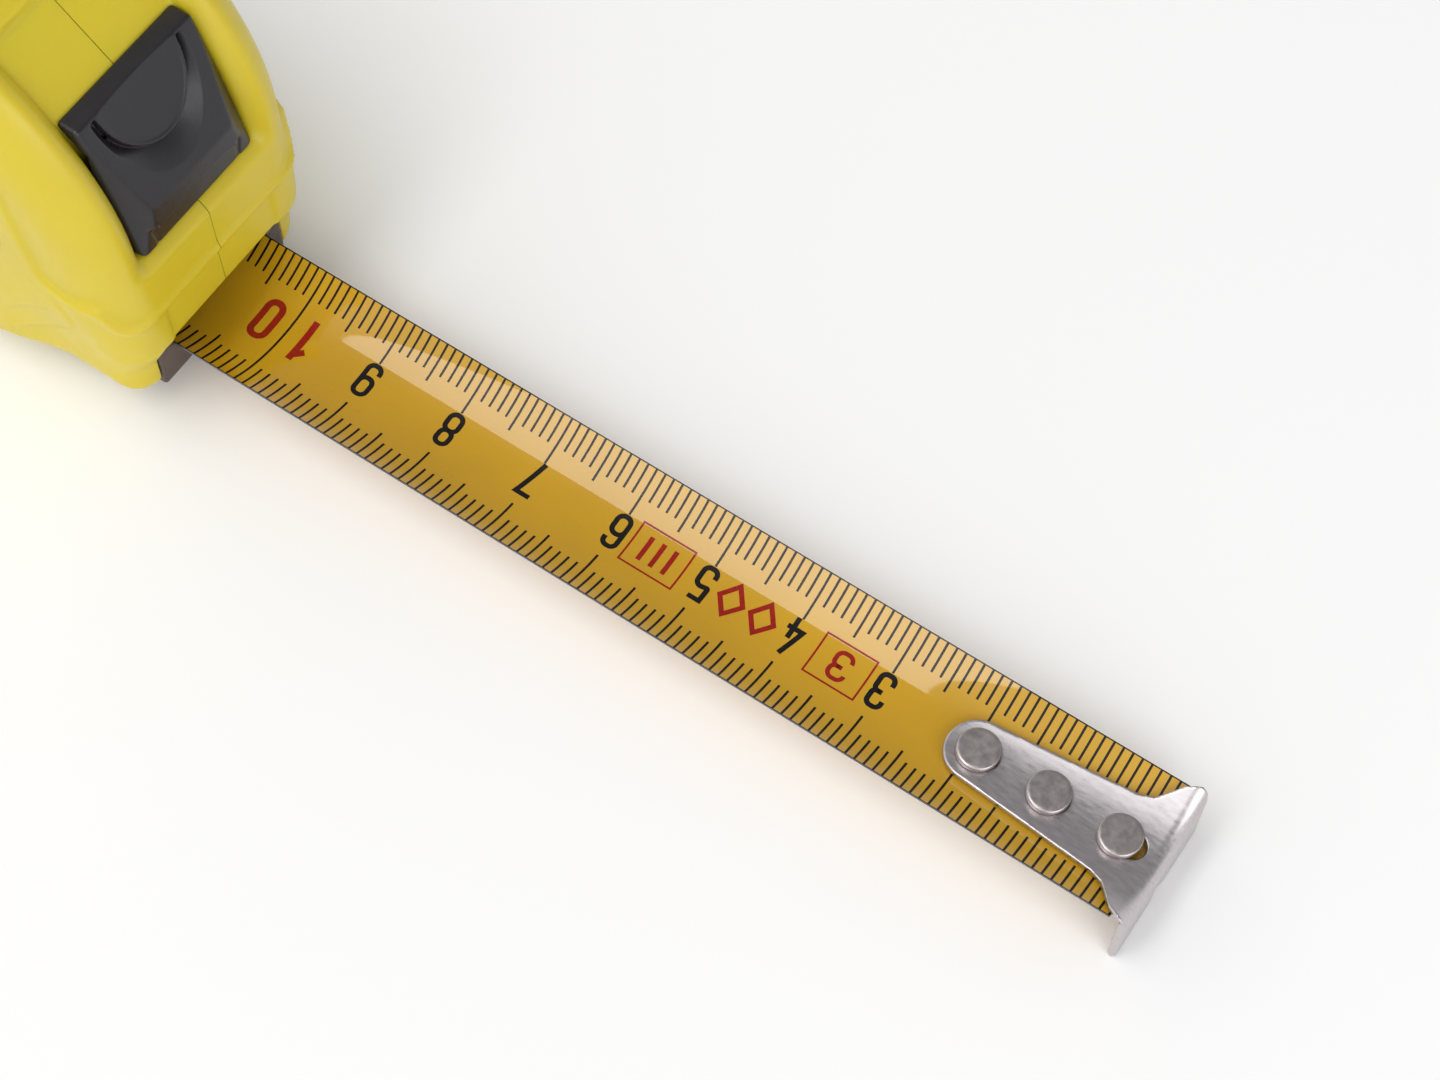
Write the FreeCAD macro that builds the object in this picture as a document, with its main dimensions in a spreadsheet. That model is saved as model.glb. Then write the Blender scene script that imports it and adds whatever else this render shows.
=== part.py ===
"""Pocket tape measure, 16 mm blade, drawn out and locked.

Frame: origin on the flat base below the reel's axis, +X along the blade towards
the end hook, +Z up, +Y to the left of the blade. Millimetres.
"""
import FreeCAD
import Part
import Sketcher
import math
import os
import re

SIZES = {
    # case
    "case_back": 27.0,
    "case_top": 50.0,
    "case_half_wide": 15.0,
    "case_wall": 2.0,
    "front_foot": 26.4,
    "foot_high": 4.8,
    "front_lip": 27.9,
    "lip_high": 8.0,
    "front_shelf": 27.7,
    "front_brow": 26.9,
    "round_foot": 2.0,
    "round_brow": 28.3,
    "round_crown": 18.0,
    "round_heel": 12.0,
    "rim_round": 4.0,
    "foot_half_wide": 13.0,
    "mouth_half_wide": 9.7,
    "flank_back": 10.8,
    "flank_knee": 14.5,
    "flank_knee_high": 8.0,
    "flank_front": 24.0,
    "flank_front_high": 17.0,
    "flank_rise": 1.5,
    "flank_deep": 5.0,
    "clear_of_case": 40.0,
    "clear_above": 9.0,
    "cut_over": 1.0,
    "fit_gap": 0.05,
    "fuse_over": 0.5,
    "run_in_back": 4.0,
    "cavity_front": 6.5,
    "reel_high": 27.0,
    # recess of the lock button
    "recess_half_wide": 8.4,
    "shelf_high": 21.3,
    "shelf_thick": 1.7,
    "drop_front": 20.5,
    "drop_wall": 0.9,
    "ramp_angle": 43.0,
    "ramp_top": 36.95,
    "ramp_back": 13.4,
    "ramp_wall": 0.9,
    "ramp_drop": 0.4,
    "step_run": 2.5,
    "step_high": 47.5,
    "brow_turn": 59.0,
    "tongue_slot_half": 3.6,
    "tongue_slot_gap": 0.4,
    # screws and their bosses
    "screw_crown_back": 16.6,
    "screw_crown_high": 43.5,
    "screw_heel_back": 19.0,
    "screw_heel_high": 8.0,
    "screw_nose": 18.1,
    "screw_nose_high": 15.0,
    "boss_round": 2.3,
    "pilot_round": 1.1,
    "clear_round": 1.4,
    "sink_round": 2.15,
    "sink_deep": 1.8,
    "screw_round": 1.05,
    "screw_head_round": 2.0,
    "screw_head_thick": 1.6,
    "screw_short_by": 6.0,
    "pilot_short_by": 4.0,
    "label_seat_gap": 0.2,
    "drive_half_long": 1.3,
    "drive_half_wide": 0.35,
    "drive_deep": 0.9,
    # centre post, reel and springs
    "post_round": 3.0,
    "post_half_long": 9.4,
    "spigot_round": 2.0,
    "spigot_long": 2.0,
    "hub_boss_round": 6.0,
    "post_slot": 1.2,
    "bearing_gap": 0.05,
    "hub_outer": 12.0,
    "hub_inner": 11.4,
    "flange_round": 19.1,
    "flange_thick": 0.7,
    "reel_half_gap": 8.15,
    "coil_outer": 18.6,
    "coil_half_wide": 7.95,
    "spring_inner": 3.6,
    "spring_outer": 10.8,
    "spring_thick": 0.15,
    "spring_half_wide": 7.4,
    "spring_turns": 9.0,
    # blade
    "blade_thick": 0.14,
    "blade_arc": 14.2,
    "blade_half_angle": 32.2,
    "blade_low": 3.3,
    "blade_tip": 134.0,
    "blade_straight": 14.0,
    "coil_end_x": 0.5,
    "coil_end_low": 8.0,
    "coil_end_arc": 400.0,
    # end hook and rivets
    "hook_thick": 0.9,
    "hook_gap": 0.03,
    "hook_drop": 7.0,
    "hook_half_wide": 7.7,
    "hook_plate_long": 22.4,
    "hook_tail_half": 3.2,
    "hook_play": 0.8,
    "hook_waist_back": 4.6,
    "hook_waist_half": 4.5,
    "hook_shoulder_back": 1.2,
    "hook_shoulder_half": 7.3,
    "hook_bend_high": 1.0,
    "hook_plate_over": 0.2,
    "cutter_over": 5.0,
    "cutter_long": 20.0,
    "notch_half": 1.6,
    "notch_deep": 0.7,
    "rivet_round": 1.2,
    "rivet_head_round": 2.05,
    "rivet_head_high": 0.7,
    "rivet_dome": 0.49,
    "rivet_head_gap": 0.2,
    "rivet_slot_gap": 0.06,
    "rivet_tail_round": 1.8,
    "rivet_tail_high": 0.5,
    "rivet_first": 4.0,
    "rivet_pitch": 7.55,
    # lock
    "button_half_wide": 8.25,
    "button_gap": 0.15,
    "button_back": 19.7,
    "button_ridge": 22.4,
    "button_ridge_up": 0.75,
    "button_waist": 24.7,
    "button_waist_high": 32.6,
    "button_chin": 27.1,
    "button_chin_high": 26.8,
    "button_front": 27.6,
    "button_wall_low": 26.0,
    "button_wall_high": 25.6,
    "button_roof_high": 26.4,
    "button_inner_high": 31.5,
    "leg_inner": 5.6,
    "arch_back": 24.0,
    "arch_high": 23.6,
    "lock_travel": 3.0,
    "tongue_back": 23.0,
    "tongue_thick": 1.8,
    "tongue_half_wide": 3.0,
    "tongue_low": 5.6,
    "tongue_high": 26.0,
    "tongue_toe_high": 1.2,
    "tongue_toe_long": 0.9,
    "tongue_head_high": 1.6,
    "tongue_head_low": 25.68,
    "tongue_head_top": 25.6,
    # mouth insert
    "bumper_front": 26.4,
    "bumper_back": 14.0,
    "bumper_groove_half": 2.6,
    "bumper_groove_deep": 0.9,
    "bumper_gap": 0.1,
    "bumper_short_by": 0.6,
    # label and belt clip
    "label_round": 15.5,
    "label_thick": 0.4,
    "clip_half_wide": 7.0,
    "clip_thick": 1.0,
    "clip_gap": 4.6,
    "clip_top": 45.5,
    "clip_low": 7.0,
    "clip_screw_high": 41.0,
    "clip_foot_long": 4.0,
    "clip_knee_long": 8.0,
    "clip_heel_high": 6.0,
    "clip_nip_high": 2.0,
    "clip_nip_out": 1.6,
    "clip_lip_out": 3.0,
    "clip_lip_drop": 0.3,
    "clip_inner_drop": 0.4,
    "clip_inner_foot": 0.2,
    "clip_screw_deep": 3.5,
    "clip_screw_extra": 0.3,
}

doc = FreeCAD.newDocument("TapeMeasure")
sheet = doc.addObject("Spreadsheet::Sheet", "Sizes")
for row, (alias, number) in enumerate(SIZES.items(), 1):
    sheet.set(f"A{row}", alias)
    sheet.set(f"B{row}", str(number))
    sheet.setAlias(f"B{row}", alias)
doc.recompute()

SIDEWAYS = FreeCAD.Rotation(FreeCAD.Vector(1, 0, 0), -90)
parts = []


def num(expression):
    """Value of an expression such as 'case_top - case_wall' from the sheet."""
    found = sheet.evalExpression(bound(expression))
    return float(getattr(found, "Value", found))


def bound(expression):
    """The same expression written for another object: each size prefixed."""
    return re.sub(r"[a-z_]+", lambda word: f"Sizes.{word[0]}" if word[0] in SIZES else word[0],
                  expression)


def new_body(label):
    body = doc.addObject("PartDesign::Body", label)
    body.Label = label
    parts.append(body)
    return body


def new_sketch(body, plane, name, height="0"):
    """A sketch on one of the body's own origin planes, raised along its normal."""
    sketch = body.newObject("Sketcher::SketchObject", name)
    support = next(f for f in body.Origin.OriginFeatures if f.Role == plane)
    sketch.AttachmentSupport = (support, [""])
    sketch.MapMode = "FlatFace"
    sketch.setExpression(".AttachmentOffset.Base.z", bound(height))
    return sketch


def pin_point(sketch, geometry, point, across, up):
    for kind, expression in (("DistanceX", across), ("DistanceY", up)):
        index = sketch.addConstraint(
            Sketcher.Constraint(kind, -1, 1, geometry, point, num(expression)))
        sketch.setExpression(f"Constraints[{index}]", bound(expression))


def add_polygon(sketch, corners):
    """Straight-sided outline through corners given as pairs of expressions."""
    points = [FreeCAD.Vector(num(x), num(y), 0) for x, y in corners]
    first = sketch.GeometryCount
    count = len(points)
    for index in range(count):
        sketch.addGeometry(Part.LineSegment(points[index], points[(index + 1) % count]))
    for index in range(count):
        sketch.addConstraint(Sketcher.Constraint(
            "Coincident", first + index, 2, first + (index + 1) % count, 1))
    for index, (across, up) in enumerate(corners):
        pin_point(sketch, first + index, 1, across, up)


def add_rectangle(sketch, low_x, low_y, high_x, high_y):
    add_polygon(sketch, [(low_x, low_y), (high_x, low_y), (high_x, high_y), (low_x, high_y)])


def add_circle(sketch, across, up, radius):
    centre = FreeCAD.Vector(num(across), num(up), 0)
    index = sketch.addGeometry(Part.Circle(centre, FreeCAD.Vector(0, 0, 1), num(radius)))
    pin_point(sketch, index, 3, across, up)
    limit = sketch.addConstraint(Sketcher.Constraint("Radius", index, num(radius)))
    sketch.setExpression(f"Constraints[{limit}]", bound(radius))


def pad(body, sketch, length, reverse=False, both_ways=False):
    feature = body.newObject("PartDesign::Pad", f"{sketch.Name}_pad")
    feature.Profile = sketch
    feature.setExpression("Length", bound(length))
    feature.Reversed = reverse
    feature.Midplane = both_ways
    doc.recompute()
    return feature


def pocket(body, sketch, length, reverse=False, both_ways=False):
    """Cut the sketch out of the body and make sure that something was removed."""
    before = body.Shape.Volume
    feature = body.newObject("PartDesign::Pocket", f"{sketch.Name}_cut")
    feature.Profile = sketch
    feature.setExpression("Length", bound(length))
    feature.Reversed = reverse
    feature.Midplane = both_ways
    doc.recompute()
    if body.Shape.Volume > before - 0.01:
        raise RuntimeError(f"{feature.Name} cuts nothing")
    return feature


def round_edges(body, name, radius, wanted):
    """Fillet the edges of the body's tip that the test picks."""
    tip = body.Tip
    picked = [f"Edge{n}" for n, edge in enumerate(tip.Shape.Edges, 1) if wanted(edge)]
    if not picked:
        raise RuntimeError(f"{name} picks no edge")
    feature = body.newObject("PartDesign::Fillet", name)
    feature.Base = (tip, picked)
    feature.setExpression("Radius", bound(radius))
    doc.recompute()
    return feature


def crosswise_at(across, up):
    """Picks the edges parallel to Y that pass through (across, up)."""
    x, z = num(across), num(up)

    def wanted(edge):
        ends = [vertex.Point for vertex in edge.Vertexes]
        near = all(math.hypot(p.x - x, p.z - z) < 0.01 for p in ends)
        return near and len(ends) == 2
    return wanted


def primitive(kind, name, values, place=(0, 0, 0), turn=None):
    """A Part primitive whose sizes are bound to the sheet."""
    shape = doc.addObject(kind, name)
    for key, expression in values.items():
        shape.setExpression(key, bound(expression))
    spot = FreeCAD.Vector(*(num(str(value)) for value in place))
    shape.Placement = FreeCAD.Placement(spot, turn or FreeCAD.Rotation())
    return shape


def boolean(kind, name, first, second, is_part=False):
    result = doc.addObject(kind, name)
    if kind == "Part::MultiFuse":
        result.Shapes = [first] + list(second)
    else:
        result.Base = first
        result.Tool = second
    result.Label = name
    if is_part:
        parts.append(result)
    doc.recompute()
    return result


def finished_shape(label, shape):
    """A sub-part whose shape neither sketches nor primitives can give."""
    feature = doc.addObject("Part::Feature", label)
    feature.Shape = shape
    feature.Label = label
    feature.Placement = FreeCAD.Placement()
    parts.append(feature)
    return feature


# ---------------------------------------------------------------- case halves

SCREW_SPOTS = [
    ("-1 * screw_crown_back", "screw_crown_high"),
    ("-1 * screw_heel_back", "screw_heel_high"),
    ("screw_nose", "screw_nose_high"),
]
OUTLINE = [
    ("front_foot", "0"), ("front_foot", "foot_high"), ("front_lip", "lip_high"),
    ("front_shelf", "shelf_high"), ("front_brow", "case_top"),
    ("-1 * case_back", "case_top"), ("-1 * case_back", "0"),
]
OUTLINE_ROUNDS = ["round_foot", None, None, None, "round_brow", "round_crown", "round_heel"]


def cavity_outline():
    """Room for the reel: it stops short of the lock's recess and of the foot."""
    front = "drop_front - drop_wall"
    corner = "ramp_top - ramp_drop"
    back = "ramp_back - ramp_wall"
    back_high = f"{corner} + ( {front} - ( {back} ) ) * tan( ramp_angle * 1deg )"
    roof = "case_top - case_wall"
    rear = "case_wall - case_back"
    crown = "( round_crown - case_wall )"
    heel = "( round_heel - case_wall )"
    brow = "( round_brow - case_wall )"
    brow_middle = "front_brow - round_brow"
    cut = 1 - math.sqrt(0.5)
    return [
        (f"{rear} + {heel}", "case_wall"), ("cavity_front", "case_wall"),
        (front, "shelf_high - shelf_thick"), (front, corner), (back, back_high),
        (f"{brow_middle} + {brow} * cos( brow_turn * 1deg )",
         f"{roof} - {brow} * ( 1 - sin( brow_turn * 1deg ) )"),
        (brow_middle, roof), (f"{rear} + {crown}", roof),
        (f"{rear} + {cut} * {crown}", f"{roof} - {cut} * {crown}"), (rear, f"{roof} - {crown}"),
        (rear, f"case_wall + {heel}"), (f"{rear} + {cut} * {heel}", f"case_wall + {cut} * {heel}"),
    ]


def case_half(label, side):
    """side is -1 for the right half (towards -Y) and +1 for the left half."""
    body = new_body(label)
    left = side > 0

    outline = new_sketch(body, "XZ_Plane", f"{label}_outline")
    add_polygon(outline, OUTLINE)
    pad(body, outline, "case_half_wide", reverse=left)
    for (across, up), radius in zip(OUTLINE, OUTLINE_ROUNDS):
        if radius:
            round_edges(body, f"{label}_{radius}", radius, crosswise_at(across, up))

    face = num("case_half_wide") * side
    round_edges(body, f"{label}_rim", "rim_round",
                lambda edge: abs(edge.BoundBox.YMin - face) < 0.01
                and abs(edge.BoundBox.YMax - face) < 0.01)

    def cut(name, add, corners, depth):
        sketch = new_sketch(body, "XZ_Plane", f"{label}_{name}")
        add(sketch, *corners)
        pocket(body, sketch, depth, reverse=not left)

    cut("cavity", add_polygon, [cavity_outline()], "case_half_wide - case_wall")
    cut("front_room", add_rectangle,
        ("bumper_back", "lip_high - bumper_gap", "front_foot - 2 * bumper_gap",
         "shelf_high - shelf_thick"),
        "mouth_half_wide")
    cut("mouth", add_polygon,
        [[("bumper_back", "-1 * cut_over"), ("clear_of_case", "-1 * cut_over"),
          ("clear_of_case", "lip_high"), ("run_in_back", "lip_high"),
          ("run_in_back", "case_wall"), ("bumper_back", "case_wall")]],
        "mouth_half_wide")
    cut("recess", add_polygon,
        [[("clear_of_case", "shelf_high"), ("drop_front", "shelf_high"),
          ("drop_front", "ramp_top"),
          ("ramp_back", "ramp_top + ( drop_front - ramp_back ) * tan( ramp_angle * 1deg )"),
          ("ramp_back + step_run", "step_high"),
          ("ramp_back + 2 * step_run", "case_top + clear_above"),
          ("clear_of_case", "case_top + clear_above")]],
        "recess_half_wide")
    cut("tongue_slot", add_rectangle,
        ("drop_front", "shelf_high - shelf_thick - cut_over",
         "tongue_back + tongue_thick + tongue_slot_gap", "shelf_high + cut_over"),
        "tongue_slot_half")

    flank = new_sketch(body, "XZ_Plane", f"{label}_foot_flank", f"{-side} * foot_half_wide")
    add_polygon(flank, [
        ("flank_back", "-1 * cut_over"), ("clear_of_case", "-1 * cut_over"),
        ("clear_of_case", "flank_front_high + flank_rise"), ("flank_front", "flank_front_high"),
        ("flank_knee", "flank_knee_high")])
    pocket(body, flank, "flank_deep", reverse=not left)

    bosses = new_sketch(body, "XZ_Plane", f"{label}_bosses")
    for across, up in SCREW_SPOTS:
        add_circle(bosses, across, up, "boss_round")
    pad(body, bosses, "case_half_wide - case_wall + fuse_over", reverse=left)

    hub = new_sketch(body, "XZ_Plane", f"{label}_hub", f"{-side} * post_half_long")
    add_circle(hub, "0", "reel_high", "hub_boss_round")
    pad(body, hub, "case_half_wide - case_wall - post_half_long + fuse_over", reverse=left)
    socket = new_sketch(body, "XZ_Plane", f"{label}_socket", f"{-side} * post_half_long")
    add_circle(socket, "0", "reel_high", "spigot_round + fit_gap")
    pocket(body, socket, "spigot_long + 2 * fit_gap", reverse=not left)

    holes = new_sketch(body, "XZ_Plane", f"{label}_holes")
    for across, up in SCREW_SPOTS:
        add_circle(holes, across, up, "clear_round" if left else "pilot_round")
    depth = "case_half_wide + cut_over" if left else "case_half_wide - pilot_short_by"
    pocket(body, holes, depth, reverse=not left)
    if left:
        sinks = new_sketch(body, "XZ_Plane", f"{label}_sinks", "-1 * case_half_wide - cut_over")
        for across, up in SCREW_SPOTS:
            add_circle(sinks, across, up, "sink_round")
        pocket(body, sinks, "sink_deep + cut_over", reverse=True)
        clip_hole = new_sketch(body, "XZ_Plane", f"{label}_clip_hole",
                               "-1 * case_half_wide - cut_over")
        add_circle(clip_hole, "0", "clip_screw_high", "pilot_round")
        pocket(body, clip_hole, "case_wall + 2 * cut_over", reverse=True)
    else:
        seat = new_sketch(body, "XZ_Plane", f"{label}_label_seat", "case_half_wide + cut_over")
        add_circle(seat, "0", "reel_high", "label_round + label_seat_gap")
        pocket(body, seat, "cut_over + label_thick")
    return body


case_half("left_case", 1)
case_half("right_case", -1)

# ------------------------------------------------------- round pieces along Y


def sideways(body, across, offset, up):
    """Turn a body built along local Z so that local Z becomes +Y."""
    spot = FreeCAD.Vector(num(across), num(offset), num(up))
    body.Placement = FreeCAD.Placement(spot, SIDEWAYS)


def disc_stack(label, layers):
    """Body of coaxial round pads: (start, length, outer radius, bore or None)."""
    body = new_body(label)
    for index, (start, length, outer, bore) in enumerate(layers):
        layer = new_sketch(body, "XY_Plane", f"{label}_layer_{index}", start)
        add_circle(layer, "0", "0", outer)
        if bore:
            add_circle(layer, "0", "0", bore)
        pad(body, layer, length)
    return body


def cross_recess(body, top):
    """Cross drive cut down into a screw's head from local height top."""
    arms = (("drive_half_long", "drive_half_wide"), ("drive_half_wide", "drive_half_long"))
    for index, (long, wide) in enumerate(arms):
        slot = new_sketch(body, "XY_Plane", f"{body.Name}_drive_{index}", top)
        add_rectangle(slot, f"-1 * {long}", f"-1 * {wide}", long, wide)
        pocket(body, slot, "drive_deep")


def case_screw(label, across, up):
    """Self-tapping screw whose head is sunk in the left side, towards +Y."""
    tip = "screw_short_by - 2 * case_half_wide"
    body = disc_stack(label, [
        (tip, f"0.01 - sink_deep - ( {tip} )", "screw_round", None),
        ("-1 * sink_deep", "screw_head_thick", "screw_head_round", None),
    ])
    cross_recess(body, "screw_head_thick - sink_deep")
    sideways(body, across, "case_half_wide", up)


for index, (across, up) in enumerate(SCREW_SPOTS, 1):
    case_screw(f"case_screw_{index}", across, up)

label_disc = disc_stack("side_label", [("0", "label_thick", "label_round", None)])
sideways(label_disc, "0", "-1 * case_half_wide", "reel_high")

post = disc_stack("centre_post", [
    ("-1 * post_half_long - spigot_long", "spigot_long + 0.03", "spigot_round", None),
    ("-1 * post_half_long + 0.02", "2 * post_half_long - 0.04", "post_round", None),
    ("post_half_long - 0.03", "spigot_long", "spigot_round", None),
])
post_slot = new_sketch(post, "XY_Plane", "post_slot", "-1 * spring_half_wide - 0.3")
add_rectangle(post_slot, "0", "post_slot * -0.5", "post_round + 1", "post_slot * 0.5")
pocket(post, post_slot, "2 * spring_half_wide + 0.6", reverse=True)
sideways(post, "0", "0", "reel_high")

bore = "post_round + bearing_gap"
reel = disc_stack("reel", [
    ("-1 * reel_half_gap - flange_thick", "flange_thick", "flange_round", bore),
    ("-1 * reel_half_gap - 0.01", "2 * reel_half_gap + 0.01", "hub_outer", "hub_inner"),
])
sideways(reel, "0", "0", "reel_high")
cover = disc_stack("reel_cover", [("reel_half_gap", "flange_thick", "flange_round", bore)])
sideways(cover, "0", "0", "reel_high")
coil = disc_stack("blade_coil", [
    ("-1 * coil_half_wide", "2 * coil_half_wide", "coil_outer", "hub_outer + 0.02"),
])
sideways(coil, "0", "0", "reel_high")


def spiral_strip(inner, outer, turns, thickness, half_wide):
    """Flat spiral of rectangular strip, wound about local Z, as one solid."""
    steps = int(turns * 24)
    edges = []
    ends = []
    for shift in (0, thickness):
        points = []
        for step in range(steps + 1):
            angle = 2 * math.pi * turns * step / steps
            radius = inner + shift + (outer - inner - thickness) * step / steps
            points.append(FreeCAD.Vector(
                radius * math.cos(angle), radius * math.sin(angle), -half_wide))
        curve = Part.BSplineCurve()
        curve.interpolate(points)
        edges.append(curve.toShape())
        ends.append((points[0], points[-1]))
    start_edge = Part.LineSegment(ends[0][0], ends[1][0]).toShape()
    last_edge = Part.LineSegment(ends[0][1], ends[1][1]).toShape()
    wire = Part.Wire(Part.__sortEdges__([edges[0], last_edge, edges[1], start_edge]))
    return Part.Face(wire).extrude(FreeCAD.Vector(0, 0, 2 * half_wide))


spring_shape = spiral_strip(num("spring_inner"), num("spring_outer"), num("spring_turns"),
                            num("spring_thick"), num("spring_half_wide"))
spring = finished_shape("mainspring", spring_shape)
spring.Placement = FreeCAD.Placement(FreeCAD.Vector(0, 0, num("reel_high")), SIDEWAYS)

# --------------------------------------------------------------------- blade


def blade_section(x, low, arc, half_angle):
    """Closed cross-section of the curved strip at x, its lowest line at low."""
    centre = low + arc
    wires = []
    for radius in (arc, arc - num("blade_thick")):
        spots = []
        for angle in (-half_angle, 0, half_angle):
            turn = math.radians(angle)
            spots.append(FreeCAD.Vector(
                x, radius * math.sin(turn), centre - radius * math.cos(turn)))
        wires.append(spots)
    under, over = wires
    return Part.Wire([
        Part.Arc(*under).toShape(),
        Part.LineSegment(under[2], over[2]).toShape(),
        Part.Arc(*reversed(over)).toShape(),
        Part.LineSegment(over[0], under[0]).toShape(),
    ])


def blade_shape():
    """Strip from the coil's underside to the mouth and out, short of the hook by its play."""
    arc = num("blade_arc")
    half_angle = num("blade_half_angle")
    low = num("blade_low")
    flat_arc = num("coil_end_arc")
    flat_angle = math.degrees(num("coil_half_wide - fit_gap") / flat_arc)
    straight = num("blade_straight")
    coil_end = blade_section(num("coil_end_x"), num("coil_end_low"), flat_arc, flat_angle)
    mouth_end = blade_section(straight, low, arc, half_angle)
    run_in = Part.makeLoft([coil_end, mouth_end], True, True)
    end = num("blade_tip - hook_play - fit_gap")
    run_out = Part.Face(mouth_end).extrude(FreeCAD.Vector(end - straight, 0, 0))
    strip = run_in.fuse(run_out).removeSplitter()
    for spot in RIVET_XS:
        hole = Part.makeCylinder(num("rivet_round") + 0.02, 10, FreeCAD.Vector(spot, 0, 0))
        strip = strip.cut(hole)
    return strip


RIVET_XS = [num(f"blade_tip - rivet_first - {index} * rivet_pitch") for index in range(3)]
finished_shape("blade", blade_shape())

# ------------------------------------------------------------ hook and rivets

LENGTHWISE = FreeCAD.Rotation(FreeCAD.Vector(0, 1, 0), 90)


def end_hook():
    """Curved plate that lies on the blade, with a flange bent down at the tip."""
    axis_high = "blade_low + blade_arc"
    plate_outer = "blade_arc - blade_thick - hook_gap"
    plate_inner = "blade_arc - blade_thick - hook_gap - hook_thick"
    start = "blade_tip - hook_plate_long"
    outer = primitive("Part::Cylinder", "hook_outer",
                      {"Radius": plate_outer, "Height": "hook_plate_long"},
                      (start, "0", axis_high), LENGTHWISE)
    inner = primitive("Part::Cylinder", "hook_inner",
                      {"Radius": plate_inner, "Height": "hook_plate_long + cutter_long"},
                      (start + " - cutter_over", "0", axis_high), LENGTHWISE)
    shell = boolean("Part::Cut", "hook_shell", outer, inner)

    outline = doc.addObject("Part::Feature", "hook_outline")
    outline.Shape = hook_outline_prism()
    plate = boolean("Part::Common", "hook_plate", shell, outline)

    flange_box = primitive("Part::Box", "hook_flange_box", {
        "Length": "hook_thick", "Width": "2 * hook_half_wide",
        "Height": "hook_drop + 4 * hook_bend_high"},
        ("blade_tip", "-1 * hook_half_wide", "blade_low + hook_bend_high - hook_drop"))
    flange_inner = primitive("Part::Cylinder", "hook_flange_inner",
                             {"Radius": plate_inner, "Height": "cutter_long"},
                             ("blade_tip - cutter_over", "0", axis_high), LENGTHWISE)
    flange_full = boolean("Part::Cut", "hook_flange_full", flange_box, flange_inner)
    notch_high = "blade_low + hook_bend_high - hook_drop - notch_half + notch_deep"
    notch = primitive("Part::Cylinder", "hook_notch",
                      {"Radius": "notch_half", "Height": "cutter_long"},
                      ("blade_tip - cutter_over", "0", notch_high), LENGTHWISE)
    flange = boolean("Part::Cut", "hook_flange", flange_full, notch)
    whole = boolean("Part::MultiFuse", "hook_blank", plate, [flange])
    slots = doc.addObject("Part::Feature", "hook_slots")
    slots.Shape = Part.makeCompound([rivet_slot(spot) for spot in RIVET_XS])
    boolean("Part::Cut", "end_hook", whole, slots, is_part=True)


def hook_outline_prism():
    """Plan outline of the plate: round tail, slim waist, full width at the tip."""
    tip = num("blade_tip + hook_plate_over")
    tail = num("blade_tip - hook_plate_long + hook_tail_half")
    tail_half = num("hook_tail_half")
    waist = num("blade_tip - hook_waist_back")
    waist_half = num("hook_waist_half")
    full = num("hook_shoulder_half")
    shoulder = num("blade_tip - hook_shoulder_back")
    far_side = [FreeCAD.Vector(x, y, 0) for x, y in (
        (tail, tail_half), (waist, waist_half), (shoulder, full), (tip, full))]
    near_side = [FreeCAD.Vector(p.x, -p.y, 0) for p in reversed(far_side)]
    tail_end = FreeCAD.Vector(tail - tail_half, 0, 0)
    edges = [Part.Arc(near_side[-1], tail_end, far_side[0]).toShape()]
    ring = far_side + near_side
    edges += [Part.LineSegment(a, b).toShape() for a, b in zip(ring, ring[1:])]
    return Part.Face(Part.Wire(edges)).extrude(FreeCAD.Vector(0, 0, num("cutter_long")))


def rivet_slot(spot):
    """Hole lengthened towards the tip, so the hook can slide by its own thickness."""
    radius = num("rivet_round + rivet_slot_gap")
    play = num("hook_play")
    high = num("cutter_long")
    slot = Part.makeBox(play, 2 * radius, high, FreeCAD.Vector(spot, -radius, 0))
    for x in (spot, spot + play):
        slot = slot.fuse(Part.makeCylinder(radius, high, FreeCAD.Vector(x, 0, 0)))
    return slot


end_hook()

for index, spot in enumerate(RIVET_XS, 1):
    name = f"hook_rivet_{index}"
    rivet = new_body(name)
    tail_low = "blade_low - rivet_tail_high"
    head_low = "blade_low + blade_thick + hook_gap + hook_thick + rivet_head_gap"
    for part_name, start, length, radius in (
            ("tail", tail_low, "rivet_tail_high", "rivet_tail_round"),
            ("shank", "blade_low - fit_gap",
             "blade_thick + hook_thick + hook_gap + rivet_head_gap + 2 * fit_gap", "rivet_round"),
            ("head", head_low, "rivet_head_high", "rivet_head_round")):
        ring = new_sketch(rivet, "XY_Plane", f"{name}_{part_name}", start)
        add_circle(ring, "0", "0", radius)
        pad(rivet, ring, length)
    top = num(head_low) + num("rivet_head_high")
    round_edges(rivet, f"{name}_dome", "rivet_dome",
                lambda edge: abs(edge.BoundBox.ZMin - top) < 0.01
                and abs(edge.BoundBox.ZMax - top) < 0.01)
    rivet.Placement = FreeCAD.Placement(FreeCAD.Vector(spot, 0, 0), FreeCAD.Rotation())

# ---------------------------------------------------------------------- lock

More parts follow.
